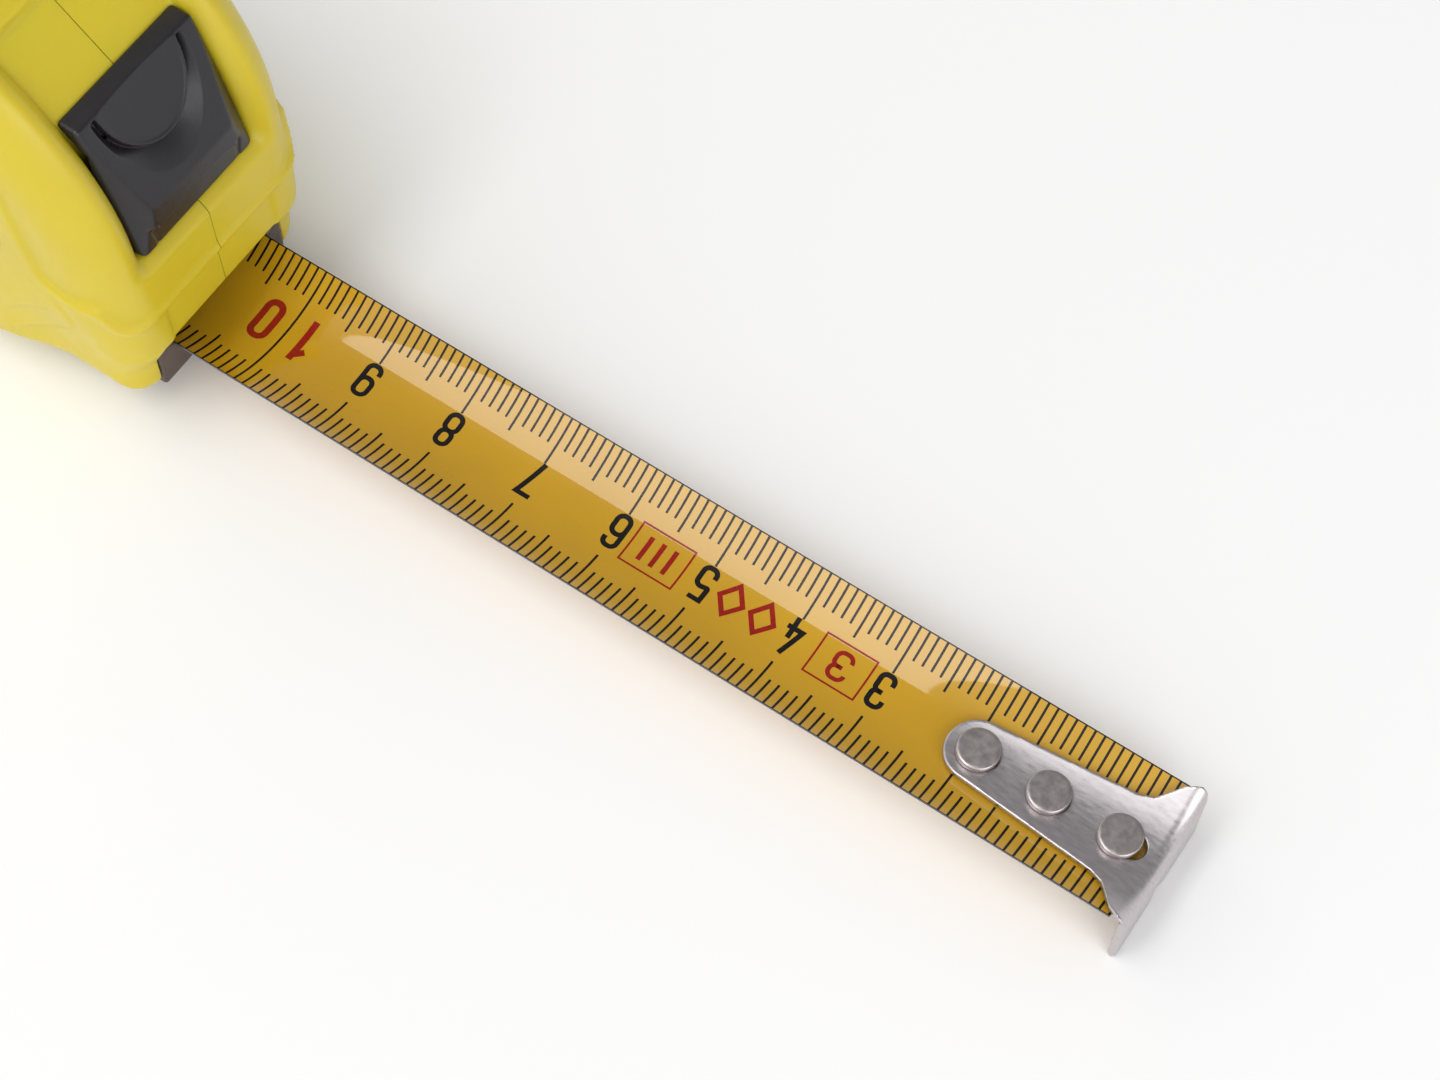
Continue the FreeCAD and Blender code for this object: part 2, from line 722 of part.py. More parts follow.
button = new_body("lock_button")
button_side = new_sketch(button, "XZ_Plane", "button_side")
slope = "tan( ramp_angle * 1deg )"
inner_x = "drop_front + lock_travel * cos( ramp_angle * 1deg ) + button_gap"
add_polygon(button_side, [
    ("button_back", f"ramp_top + ( drop_front - button_back ) * {slope} + fit_gap"),
    ("button_ridge", "ramp_top + button_ridge_up"),
    ("button_waist", "button_waist_high"),
    ("button_chin", "button_chin_high"),
    ("button_front", "shelf_high + button_gap"),
    ("button_wall_low", "shelf_high + button_gap"),
    ("button_wall_high", "button_roof_high"),
    (inner_x, "button_inner_high"),
    (inner_x, f"ramp_top + ( drop_front - ( {inner_x} ) ) * {slope} + fit_gap"),
])
pad(button, button_side, "2 * button_half_wide", both_ways=True)
arch = new_sketch(button, "XZ_Plane", "button_arch")
add_rectangle(arch, "arch_back", "shelf_high - cut_over", "clear_of_case", "arch_high")
pocket(button, arch, "2 * leg_inner", both_ways=True)

tongue = new_body("lock_tongue")
tongue_side = new_sketch(tongue, "XZ_Plane", "tongue_side")
tongue_front = "tongue_back + tongue_thick"
add_polygon(tongue_side, [
    ("tongue_back", "tongue_low + tongue_toe_high"), ("tongue_back + tongue_toe_long", "tongue_low"),
    (tongue_front, "tongue_low"), (tongue_front, "tongue_high - tongue_head_high"),
    ("tongue_head_low", "tongue_high - tongue_head_high"),
    ("tongue_head_top", "tongue_high"), ("tongue_back", "tongue_high"),
])
pad(tongue, tongue_side, "2 * tongue_half_wide", both_ways=True)

# -------------------------------------------------- mouth insert and belt clip


def bumper_block():
    """Block between the foot's walls whose top is hollowed to the blade's arc."""
    half = "mouth_half_wide - fit_gap"
    block = primitive("Part::Box", "bumper_block", {
        "Length": "bumper_front - bumper_back - fit_gap", "Width": f"2 * ( {half} )",
        "Height": "lip_high - bumper_short_by"},
        ("bumper_back + fit_gap", f"-1 * ( {half} )", "0"))
    hollow = primitive("Part::Cylinder", "bumper_hollow", {
        "Radius": "blade_arc + bumper_gap", "Height": "clear_of_case"},
        ("0", "0", "blade_low + blade_arc"), LENGTHWISE)
    dished = boolean("Part::Cut", "bumper_dished", block, hollow)
    groove = primitive("Part::Box", "bumper_groove", {
        "Length": "clear_of_case", "Width": "2 * bumper_groove_half", "Height": "lip_high"},
        ("0", "-1 * bumper_groove_half", "blade_low - bumper_groove_deep"))
    boolean("Part::Cut", "mouth_bumper", dished, groove, is_part=True)


bumper_block()

clip = new_body("belt_clip")
clip_side = new_sketch(clip, "YZ_Plane", "clip_side")
face = "case_half_wide"
outside = f"{face} + clip_thick"
add_polygon(clip_side, [
    (face, "clip_top"), (outside, "clip_top"),
    (outside, "clip_screw_high - clip_foot_long"),
    (f"{outside} + clip_gap", "clip_screw_high - clip_knee_long"),
    (f"{outside} + clip_gap", "clip_low + clip_heel_high"),
    (f"{outside} + clip_nip_out", "clip_low + clip_nip_high"),
    (f"{outside} + clip_lip_out", "clip_low"),
    (f"{face} + clip_lip_out", "clip_low - clip_lip_drop"),
    (f"{face} + clip_nip_out", "clip_low + clip_nip_high + clip_inner_foot"),
    (f"{face} + clip_gap", "clip_low + clip_heel_high + clip_inner_drop"),
    (f"{face} + clip_gap", "clip_screw_high - clip_knee_long - clip_inner_drop"),
    (face, "clip_screw_high - clip_foot_long - clip_inner_foot"),
])
pad(clip, clip_side, "2 * clip_half_wide", both_ways=True)
clip_hole = new_sketch(clip, "XZ_Plane", "clip_hole",
                       "-1 * case_half_wide - clip_thick - cut_over")
add_circle(clip_hole, "0", "clip_screw_high", "clear_round")
pocket(clip, clip_hole, "clip_thick + 2 * cut_over", reverse=True)

clip_screw = disc_stack("clip_screw", [
    ("-1 * clip_screw_deep", "clip_screw_deep + clip_thick + 0.01", "screw_round", None),
    ("clip_thick", "screw_head_thick", "screw_head_round + clip_screw_extra", None),
])
cross_recess(clip_screw, "clip_thick + screw_head_thick")
sideways(clip_screw, "0", "case_half_wide", "clip_screw_high")

# ------------------------------------------------------------ check and write

doc.recompute()
for item in doc.Objects:
    if "Invalid" in item.State or "Error" in item.State:
        raise RuntimeError(f"{item.Name} failed: {item.State}")

os.makedirs("parts", exist_ok=True)
for part in parts:
    if part.Shape.isNull() or not part.Shape.isValid() or not part.Shape.Solids:
        raise RuntimeError(f"{part.Label} has no valid solid")
    part.Shape.exportStep(os.path.join("parts", f"{part.Label}.step"))
    box = part.Shape.BoundBox
    print(f"{part.Label:14s} {len(part.Shape.Solids)} solid {part.Shape.Volume:10.1f} mm3  "
          f"X {box.XMin:7.2f} {box.XMax:7.2f}  Y {box.YMin:7.2f} {box.YMax:7.2f}  "
          f"Z {box.ZMin:7.2f} {box.ZMax:7.2f}")
print(f"{len(parts)} parts written")
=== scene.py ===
"""Looks of the pocket tape measure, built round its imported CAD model.

Everything is in metres in the CAD frame: +X along the blade to the hook, +Z up, +Y to its left.
Moulded and stamped pieces are shaped as distance fields, worked out in millimetres because
their voxels are fractions of one, and turned into meshes in metres.
"""
import math
import bmesh
import bpy
import numpy as np
import openvdb
from mathutils import Matrix, Vector


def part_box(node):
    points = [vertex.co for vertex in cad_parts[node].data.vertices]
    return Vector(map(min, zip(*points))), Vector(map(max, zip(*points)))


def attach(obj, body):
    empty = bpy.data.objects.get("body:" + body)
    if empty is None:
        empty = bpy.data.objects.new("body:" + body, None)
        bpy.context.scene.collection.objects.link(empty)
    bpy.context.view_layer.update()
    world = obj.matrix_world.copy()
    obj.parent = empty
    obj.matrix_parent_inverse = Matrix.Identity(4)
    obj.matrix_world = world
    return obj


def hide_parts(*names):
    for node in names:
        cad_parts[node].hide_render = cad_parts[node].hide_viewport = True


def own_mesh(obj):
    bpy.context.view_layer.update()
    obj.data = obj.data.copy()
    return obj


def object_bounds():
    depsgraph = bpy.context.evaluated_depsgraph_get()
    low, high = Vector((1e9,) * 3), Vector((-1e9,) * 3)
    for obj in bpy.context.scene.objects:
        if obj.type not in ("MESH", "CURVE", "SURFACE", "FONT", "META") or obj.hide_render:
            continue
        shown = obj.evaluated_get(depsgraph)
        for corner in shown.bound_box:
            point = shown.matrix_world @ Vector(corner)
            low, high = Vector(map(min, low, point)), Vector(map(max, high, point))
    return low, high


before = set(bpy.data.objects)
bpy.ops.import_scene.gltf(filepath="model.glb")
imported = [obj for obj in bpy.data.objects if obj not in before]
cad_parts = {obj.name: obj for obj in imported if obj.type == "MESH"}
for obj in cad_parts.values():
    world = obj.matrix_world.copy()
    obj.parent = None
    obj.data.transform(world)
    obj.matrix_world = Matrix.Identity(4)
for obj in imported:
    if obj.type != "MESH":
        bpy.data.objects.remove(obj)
cad_low, cad_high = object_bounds()

MM = 0.001


def box_mm(node):
    """Lowest and highest corner of a CAD node, in millimetres."""
    low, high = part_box(node)
    return Vector(low) / MM, Vector(high) / MM


# ------------------------------------------------------------ camera and light

LENS = 71.84
SENSOR = 36.0
CLIP_START = 0.01
CAMERA_SPOT = Vector((0.15123, -0.10171, 0.24824))
CAMERA_RIGHT = Vector((0.8309, 0.5566, 0.0108))
CAMERA_FORWARD = Vector((-0.2485, 0.3882, -0.8876))

# The room is white at the horizon and darker up towards one side, so that metal has something
# dark to mirror: cosines from that side, and heights of a direction, where each change ends.
DARK_SIDE = Vector((0.2, 0.65, 0.73)).normalized()
DARK_EDGE, DARK_CORE, DARK_LEVEL = 0.40, 0.72, 0.34
HORIZON_LOW, HORIZON_HIGH = 0.06, 0.3
MIX_FACTOR, MIX_FIRST, MIX_SECOND, MIX_RESULT = 0, 6, 7, 2
STRIP_SPOT, STRIP_SIZE, STRIP_RADIANCE = (-0.2175, -0.46, 1.0), (0.325, 0.98), 3.9
FILL_SPOT, FILL_SIZE, FILL_RADIANCE = (0.75, -0.35, 0.45), (0.6, 0.6), 2.0
FILL_TARGET = (0.05, 0.0, 0.0)


def add_camera():
    data = bpy.data.cameras.new("camera")
    data.lens = LENS
    data.sensor_width = SENSOR
    data.clip_start = CLIP_START
    back = -CAMERA_FORWARD.normalized()
    right = (CAMERA_RIGHT - CAMERA_RIGHT.dot(back) * back).normalized()
    up = back.cross(right)
    camera = bpy.data.objects.new("camera", data)
    turn = Matrix((right, up, back)).transposed()
    camera.matrix_world = Matrix.Translation(CAMERA_SPOT) @ turn.to_4x4()
    bpy.context.collection.objects.link(camera)
    bpy.context.scene.camera = camera


def add_panel(name, spot, size, radiance, look_at=None):
    """Rectangular softbox; radiance is how bright its face is, where white paper in it is 1."""
    data = bpy.data.lights.new(name, "AREA")
    data.shape = "RECTANGLE"
    data.size, data.size_y = size
    data.energy = radiance * math.pi * size[0] * size[1]
    panel = bpy.data.objects.new(name, data)
    panel.location = spot
    if look_at is not None:
        direction = Vector(look_at) - Vector(spot)
        panel.rotation_euler = direction.to_track_quat("-Z", "Y").to_euler()
    bpy.context.collection.objects.link(panel)


def add_surroundings():
    world = bpy.data.worlds.new("studio")
    bpy.context.scene.world = world
    world.use_nodes = True
    tree = world.node_tree
    direction = tree.nodes.new("ShaderNodeTexCoord").outputs["Generated"]
    towards = vector_math(tree, "DOT_PRODUCT", direction, DARK_SIDE)["Value"]
    height = tree.nodes.new("ShaderNodeSeparateXYZ")
    tree.links.new(direction, height.inputs["Vector"])
    room = ramp(tree, towards, [(DARK_EDGE, grey(1.0)), (DARK_CORE, grey(DARK_LEVEL))])
    above = ramp(tree, height.outputs["Z"],
                 [(HORIZON_LOW, grey(0.0)), (HORIZON_HIGH, grey(1.0))])
    blend = tree.nodes.new("ShaderNodeMix")
    blend.data_type = "RGBA"
    tree.links.new(above, blend.inputs[MIX_FACTOR])
    blend.inputs[MIX_FIRST].default_value = grey(1.0)
    tree.links.new(room, blend.inputs[MIX_SECOND])
    background = tree.nodes["Background"]
    tree.links.new(blend.outputs[MIX_RESULT], background.inputs["Color"])
    background.inputs["Strength"].default_value = 1.0
    add_panel("strip_softbox", STRIP_SPOT, STRIP_SIZE, STRIP_RADIANCE)
    add_panel("front_fill", FILL_SPOT, FILL_SIZE, FILL_RADIANCE, FILL_TARGET)
    bpy.context.scene.view_settings.view_transform = "Standard"


# ------------------------------------------------------------------- materials

NOISE_LOW, NOISE_HIGH = 0.3, 0.7
COAT_ROUGHNESS, CLEAR_ROUGHNESS = 0.08, 0.02
SCATTER_COLOUR, SCATTER_DEPTH = (1.0, 0.35, 0.05), 0.0018


def from_srgb(red, green, blue):
    """Linear colour of an 8-bit sRGB one."""
    channels = []
    for value in (red, green, blue):
        part = value / 255
        channels.append(part / 12.92 if part <= 0.04045 else ((part + 0.055) / 1.055) ** 2.4)
    return (*channels, 1.0)


def new_material(name, roughness, metallic=0.0, coat=0.0, specular=0.5):
    material = bpy.data.materials.new(name)
    material.use_nodes = True
    shader = material.node_tree.nodes["Principled BSDF"]
    shader.inputs["Roughness"].default_value = roughness
    shader.inputs["Metallic"].default_value = metallic
    shader.inputs["Coat Weight"].default_value = coat
    shader.inputs["Coat Roughness"].default_value = COAT_ROUGHNESS
    shader.inputs["Specular IOR Level"].default_value = specular
    return material, material.node_tree, shader


def object_point(tree, stretch=(1.0, 1.0, 1.0)):
    """Object coordinates, stretched, for the procedural textures."""
    coordinates = tree.nodes.new("ShaderNodeTexCoord")
    mapping = tree.nodes.new("ShaderNodeMapping")
    mapping.inputs["Scale"].default_value = stretch
    tree.links.new(coordinates.outputs["Object"], mapping.inputs["Vector"])
    return mapping.outputs["Vector"]


def vector_math(tree, operation, vector, other=(0.0, 0.0, 0.0)):
    """Outputs of a vector operation between a linked vector and a fixed one."""
    node = tree.nodes.new("ShaderNodeVectorMath")
    node.operation = operation
    node.inputs[1].default_value = other
    tree.links.new(vector, node.inputs[0])
    return node.outputs


def noise(tree, vector, scale, detail=3.0, rough=0.5):
    texture = tree.nodes.new("ShaderNodeTexNoise")
    texture.inputs["Scale"].default_value = scale
    texture.inputs["Detail"].default_value = detail
    texture.inputs["Roughness"].default_value = rough
    tree.links.new(vector, texture.inputs["Vector"])
    return texture.outputs["Fac"]


def ramp(tree, value, stops):
    """Colour ramp: stops are (position, colour)."""
    node = tree.nodes.new("ShaderNodeValToRGB")
    band = node.color_ramp
    while len(band.elements) < len(stops):
        band.elements.new(0.5)
    for element, (position, colour) in zip(band.elements, stops):
        element.position = position
        element.color = colour
    tree.links.new(value, node.inputs["Fac"])
    return node.outputs["Color"]


def grey(value):
    return (value, value, value, 1.0)


def colour_between(tree, shader, value, dark, light):
    """Base colour that wanders from dark to light with a noise value."""
    spread = ramp(tree, value, [(NOISE_LOW, dark), (NOISE_HIGH, light)])
    tree.links.new(spread, shader.inputs["Base Color"])


def rough_between(tree, shader, value, low, high):
    """Roughness that wanders from low to high with a noise value."""
    spread = ramp(tree, value, [(NOISE_LOW, grey(low)), (NOISE_HIGH, grey(high))])
    tree.links.new(spread, shader.inputs["Roughness"])


def add_bump(tree, shader, height, strength, distance):
    bump = tree.nodes.new("ShaderNodeBump")
    bump.inputs["Strength"].default_value = strength
    bump.inputs["Distance"].default_value = distance
    tree.links.new(height, bump.inputs["Height"])
    tree.links.new(bump.outputs["Normal"], shader.inputs["Normal"])


def tinted(colour, gain):
    """The colour, lighter or darker by a factor."""
    return (*(min(1.0, channel * gain) for channel in colour[:3]), 1.0)


def moulded_plastic(name, colour, gloss, grain, grain_depth, spread=0.04, glow=0.0):
    """Injection-moulded plastic: faint flow in its colour and a fine spark-eroded grain.

    spread is how far its colour wanders, and glow how much light passes through its skin.
    """
    material, tree, shader = new_material(name, gloss)
    shader.inputs["Subsurface Weight"].default_value = glow
    shader.inputs["Subsurface Radius"].default_value = SCATTER_COLOUR
    shader.inputs["Subsurface Scale"].default_value = SCATTER_DEPTH
    point = object_point(tree)
    flow = noise(tree, point, 60.0, 4.0)
    colour_between(tree, shader, flow, tinted(colour, 1 - spread), tinted(colour, 1 + spread))
    rough_between(tree, shader, noise(tree, point, 450.0, 2.0), gloss - 0.04, gloss + 0.05)
    add_bump(tree, shader, noise(tree, point, grain, 2.0, 0.6), 0.35, grain_depth)
    return material


def brushed_metal(name, colour, gloss, streak, along=(1.0, 1.0, 1.0), depth=0.00001):
    """Metal with fine rolling or tumbling marks, stretched along one direction."""
    material, tree, shader = new_material(name, gloss, metallic=1.0)
    point = object_point(tree, along)
    marks = noise(tree, point, streak, 3.0, 0.65)
    colour_between(tree, shader, marks, tinted(colour, 0.88), tinted(colour, 1.06))
    rough_between(tree, shader, marks, gloss - 0.06, gloss + 0.09)
    add_bump(tree, shader, marks, 0.25, depth)
    return material


def lacquered_blade():
    """Yellow enamel under clear nylon on spring steel."""
    colour = from_srgb(196, 150, 26)
    material, tree, shader = new_material("blade_enamel", 0.3, coat=1.0, specular=0.1)
    shader.inputs["Coat Roughness"].default_value = CLEAR_ROUGHNESS
    point = object_point(tree)
    cloud = noise(tree, point, 90.0, 3.0)
    colour_between(tree, shader, cloud, tinted(colour, 0.95), tinted(colour, 1.05))
    rough_between(tree, shader, noise(tree, point, 1500.0, 2.0), 0.27, 0.36)
    add_bump(tree, shader, noise(tree, point, 3500.0, 1.0), 0.08, 0.000004)
    return material


def print_ink(name, colour):
    """Ink under the same clear nylon, a little lighter where it is thin."""
    material, tree, shader = new_material(name, 0.3, coat=0.3, specular=0.1)
    shader.inputs["Coat Roughness"].default_value = CLEAR_ROUGHNESS
    density = noise(tree, object_point(tree), 2500.0, 2.0)
    colours = [(0.25, tinted(colour, 1.3)), (0.6, colour)]
    tree.links.new(ramp(tree, density, colours), shader.inputs["Base Color"])
    add_bump(tree, shader, density, 0.1, 0.000003)
    return material


def label_foil(centre_z, radius):
    """Silvery label with dark rings near its edge and about its middle, and no words."""
    material, tree, shader = new_material("label_foil", 0.3, metallic=0.35)
    spot = tree.nodes.new("ShaderNodeTexCoord").outputs["Object"]
    apart = vector_math(tree, "SUBTRACT", spot, (0.0, 0.0, centre_z))["Vector"]
    flat = vector_math(tree, "MULTIPLY", apart, (1.0, 0.0, 1.0))["Vector"]
    share = tree.nodes.new("ShaderNodeMath")
    share.operation = "DIVIDE"
    share.inputs[1].default_value = radius
    tree.links.new(vector_math(tree, "LENGTH", flat)["Value"], share.inputs[0])
    silver = from_srgb(224, 224, 232)
    dark = from_srgb(38, 37, 40)
    amber = from_srgb(222, 190, 50)
    rings = ramp(tree, share.outputs["Value"], [
        (0.0, amber), (0.50, dark), (0.53, silver), (0.86, dark), (0.89, silver)])
    rings.node.color_ramp.interpolation = "CONSTANT"
    tree.links.new(rings, shader.inputs["Base Color"])
    add_bump(tree, shader, noise(tree, object_point(tree), 1200.0, 2.0), 0.1, 0.000006)
    return material


# -------------------------------------------------------------- distance fields

FAR = 1e9
NO_LENGTH, NO_STEP = 1e-12, 1e-9
BAND = 3.0
SHARP_ANGLE, CRISP_ANGLE = 50.0, 40.0
SOFT_EDGE = 0.3


def smooth_step(low, high, value):
    """0 below low, 1 above high, and a soft S between them."""
    t = np.clip((value - low) / (high - low), 0.0, 1.0)
    return t * t * (3.0 - 2.0 * t)


def meet(first, second, radius):
    """What lies in both fields, with the edge between them rounded."""
    corner = np.hypot(np.maximum(first + radius, 0.0), np.maximum(second + radius, 0.0))
    return np.minimum(np.maximum(first, second), -radius) + corner


def carve(first, second, radius):
    """The first field without the second, with rounded edges."""
    return meet(first, -second, radius)


def rounded_line(corners, closed=True, steps=14):
    """Points along straight runs whose corners (across, up, radius) become arcs."""
    count = len(corners)
    points = []
    for index, (across, up, radius) in enumerate(corners):
        here = np.array((across, up), float)
        inner = closed or 0 < index < count - 1
        if radius <= 0 or not inner:
            points.append(here)
            continue
        before = np.array(corners[index - 1][:2], float) - here
        after = np.array(corners[(index + 1) % count][:2], float) - here
        before /= np.linalg.norm(before)
        after /= np.linalg.norm(after)
        half = math.acos(np.clip(before @ after, -1.0, 1.0)) / 2
        middle = here + (before + after) / np.linalg.norm(before + after) * radius / math.sin(half)
        start = here + before * radius / math.tan(half) - middle
        end = here + after * radius / math.tan(half) - middle
        first = math.atan2(start[1], start[0])
        sweep = (math.atan2(end[1], end[0]) - first + math.pi) % (2 * math.pi) - math.pi
        for step in range(steps + 1):
            angle = first + sweep * step / steps
            points.append(middle + radius * np.array((math.cos(angle), math.sin(angle))))
    return np.array(points)


def line_distance(across, up, points, closed=True):
    """Distance to a run of points; negative inside when the run is closed."""
    nearest = np.full(across.shape, FAR)
    inside = np.zeros(across.shape, bool)
    last = len(points) if closed else len(points) - 1
    for index in range(last):
        ax, az = points[index]
        bx, bz = points[(index + 1) % len(points)]
        run_x, run_z = bx - ax, bz - az
        length = run_x * run_x + run_z * run_z
        if length < NO_LENGTH:
            continue
        share = np.clip(((across - ax) * run_x + (up - az) * run_z) / length, 0.0, 1.0)
        gap = (across - ax - share * run_x) ** 2 + (up - az - share * run_z) ** 2
        nearest = np.minimum(nearest, gap)
        if closed and az != bz:
            crosses = (az > up) != (bz > up)
            inside ^= crosses & (across < ax + (up - az) * run_x / run_z)
    distance = np.sqrt(nearest)
    return np.where(inside, -distance, distance)


class Grid:
    """Voxel grid in millimetres: x, y and z broadcast against each other.

    Its surface is found in a band of BAND voxels each side of zero.
    """

    def __init__(self, low, high, step):
        self.low = np.array(low, float)
        self.step = step
        axes = [np.arange(a, b + step, step) for a, b in zip(low, high)]
        self.x = axes[0][:, None, None]
        self.y = axes[1][None, :, None]
        self.z = axes[2][None, None, :]
        self.flat_x, self.flat_z = np.broadcast_arrays(axes[0][:, None], axes[2][None, :])

    def side_view(self, points):
        """Distance field of an X-Z outline, the same at every Y."""
        return line_distance(self.flat_x, self.flat_z, points)[:, None, :]

    def mesh(self, field):
        """Vertices in metres and faces of the surface where the field is zero."""
        grid = openvdb.FloatGrid(BAND)
        shape = np.broadcast_shapes(self.x.shape, self.y.shape, self.z.shape)
        values = np.broadcast_to(field, shape) / self.step
        grid.copyFromArray(np.ascontiguousarray(np.clip(values, -BAND, BAND), dtype=np.float32))
        points, triangles, quads = grid.convertToPolygons(isovalue=0.0, adaptivity=0.0)
        places = (np.asarray(points, float) * self.step + self.low) * MM
        faces = [tuple(int(i) for i in face) for kind in (quads, triangles) for face in kind]
        return places, faces


def mesh_object(name, places, faces, material, sharp=SHARP_ANGLE):
    """New object from points and faces, with outward faces and smooth shading."""
    mesh = bpy.data.meshes.new(name)
    mesh.from_pydata([tuple(p) for p in places], [], faces)
    made = bpy.data.objects.new(name, mesh)
    bpy.context.collection.objects.link(made)
    mesh.materials.append(material)
    work = bmesh.new()
    work.from_mesh(mesh)
    if work.calc_volume(signed=True) < 0:
        bmesh.ops.reverse_faces(work, faces=work.faces)
    work.to_mesh(mesh)
    work.free()
    finish_shading(made, sharp)
    return made


def finish_shading(made, sharp):
    """Smooth shading that breaks at edges sharper than the angle."""
    made.data.polygons.foreach_set("use_smooth", [True] * len(made.data.polygons))
    made.data.set_sharp_from_angle(angle=math.radians(sharp))


def place(piece, body, slot, *nodes):
    """Let a piece ride on its body and stand for CAD nodes, which it hides; slot is not used."""
    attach(piece, body)
    if nodes:
        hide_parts(*nodes)


# ------------------------------------------------------------------- case halves
# Outline and openings repeat the CAD's; the grips, step line and crowned cheeks are added here.

CASE_LOW, CASE_HIGH = box_mm("left_case")
CASE_HALF = CASE_HIGH.y
LIP_X, TOP_Z, BACK_X = CASE_HIGH.x, CASE_HIGH.z, CASE_LOW.x
REEL_Z = sum(c.z for c in box_mm("reel")) / 2
BUTTON_LOW, BUTTON_HIGH = box_mm("lock_button")
BUMPER_LOW, BUMPER_HIGH = box_mm("mouth_bumper")
LABEL_LOW, LABEL_HIGH = box_mm("side_label")
LABEL_RADIUS = LABEL_HIGH.x
CASE_SCREWS = ("case_screw_1", "case_screw_2", "case_screw_3")

WALL = 2.0
FOOT_X, FOOT_Z = BUMPER_HIGH.x, 4.8
LIP_Z = 8.0
SHELF_X, SHELF_Z = 27.7, 21.3
BROW_X, BROW_ROUND = 26.9, 28.3
CROWN_ROUND, HEEL_ROUND = 18.0, 12.0
RECESS_HALF = 8.4
DROP_X, RAMP_TOP, RAMP_ANGLE = 20.5, 36.95, math.radians(43)
RAMP_BACK = 13.4
MOUTH_HALF = 9.7
PARTING_GAP = 0.05
CASE_VOXEL = 0.32

# Outlines that only cut run off to here, clear of the case.
PAST_SIDE, PAST_TOP, PAST_BASE = 40, 60, -10

# What is left between the recess and the cavity, in front, under the shelf and along the ramp.
DROP_WALL, SHELF_WALL, RAMP_WALL = 0.9, 1.7, 0.4
BROW_TURN = math.radians(59)

# Edge between the cheeks and the rim: how deep it goes at the base and how much more at the
# top, how wide it is, and how many millimetres one unit of its field stands for.
EDGE_DEEP, EDGE_MORE, EDGE_WIDE, EDGE_SCALE = 3.8, 2.4, 5.0, 4.6
TAPER, CROWN, PANEL_STEP, CHIN_STEP, GRIP_STEP = 1.7, 1.5, 0.5, 0.28, 0.26
BEAD_HIGH, BEAD_BACK, BEAD_WIDE = 0.3, 0.45, 0.5

# Grip fingers: place and radius of each tip, and the direction they run back in.
GRIP_TIPS = ((14.4, 18.3, 2.3), (15.9, 16.3, 3.2), (17.3, 14.3, 4.2))
GRIP_BACK = (-0.78, -0.62)

# Rooms inside the front: middle and half size, seen from the side.
LOCK_ROOM = ((20.1, 13.7), (6.0, 5.9))
TONGUE_WAY, TONGUE_HALF = ((22.5, 20.5), (2.7, 2.0)), 3.6
RUN_IN_X = 4.0
LABEL_SINK, SCREW_SINK = 0.45, 1.6
LABEL_ROOM, SCREW_ROOM = 0.25, 0.3


def ramp_height(x):
    """Height of the ramp that the button slides up."""
    return RAMP_TOP + (DROP_X - x) * math.tan(RAMP_ANGLE)


def case_outline():
    """The case from the side, from the foot of its front round over the top."""
    return rounded_line([
        (FOOT_X, 0, 2.0), (FOOT_X, FOOT_Z, 0.8), (LIP_X, LIP_Z, 1.3), (SHELF_X, SHELF_Z, 0),
        (BROW_X, TOP_Z, BROW_ROUND), (BACK_X, TOP_Z, CROWN_ROUND), (BACK_X, 0, HEEL_ROUND)],
        steps=28)


def recess_outline():
    """Bed of the lock button: shelf, drop, ramp and the step up to the top panel."""
    return rounded_line([
        (PAST_SIDE, SHELF_Z, 0), (DROP_X, SHELF_Z, 0), (DROP_X, RAMP_TOP, 0.8),
        (RAMP_BACK, ramp_height(RAMP_BACK), 0.9), (15.9, 47.5, 0), (18.4, PAST_TOP, 0),
        (PAST_SIDE, PAST_TOP, 0)])


def cavity_outline():
    """Room for the coil, a wall's thickness inside the case and its recess."""
    roof, rear = TOP_Z - WALL, BACK_X + WALL
    front, back = DROP_X - DROP_WALL, RAMP_BACK - DROP_WALL
    brow = BROW_ROUND - WALL
    brow_x = BROW_X - BROW_ROUND + brow * math.cos(BROW_TURN)
    return rounded_line([
        (6.5, WALL, 0), (front, SHELF_Z - SHELF_WALL, 0), (front, RAMP_TOP - RAMP_WALL, 0),
        (back, ramp_height(back) - RAMP_WALL, 0),
        (brow_x, roof - brow * (1 - math.sin(BROW_TURN)), 0), (BROW_X - BROW_ROUND, roof, 0),
        (rear, roof, CROWN_ROUND - WALL), (rear, WALL, HEEL_ROUND - WALL)])


def step_line():
    """Boundary, seen from the side, between the front hood and the side panels behind it."""
    return rounded_line([
        (15.0, PAST_TOP, 0), (16.6, 40.0, 14.0), (18.5, 27.0, 20.0), (19.7, 19.6, 3.2),
        (25.5, 18.8, 1.6), (27.2, 14.8, 1.6), (PAST_SIDE, 14.3, 0), (PAST_SIDE, PAST_BASE, 0),
        (-PAST_SIDE, PAST_BASE, 0), (-PAST_SIDE, PAST_TOP, 0)])


def grip_raise(x, z, height, blend):
    """Nested rounded fingers that point forward and up below the label."""
    back_x, back_z = GRIP_BACK
    total = 0.0
    for tip_x, tip_z, radius in GRIP_TIPS:
        along = np.maximum((x - tip_x) * back_x + (z - tip_z) * back_z, 0.0)
        gap = np.hypot(x - tip_x - along * back_x, z - tip_z - along * back_z) - radius
        total = total + height * (1.0 - smooth_step(-blend, blend, gap))
    return total


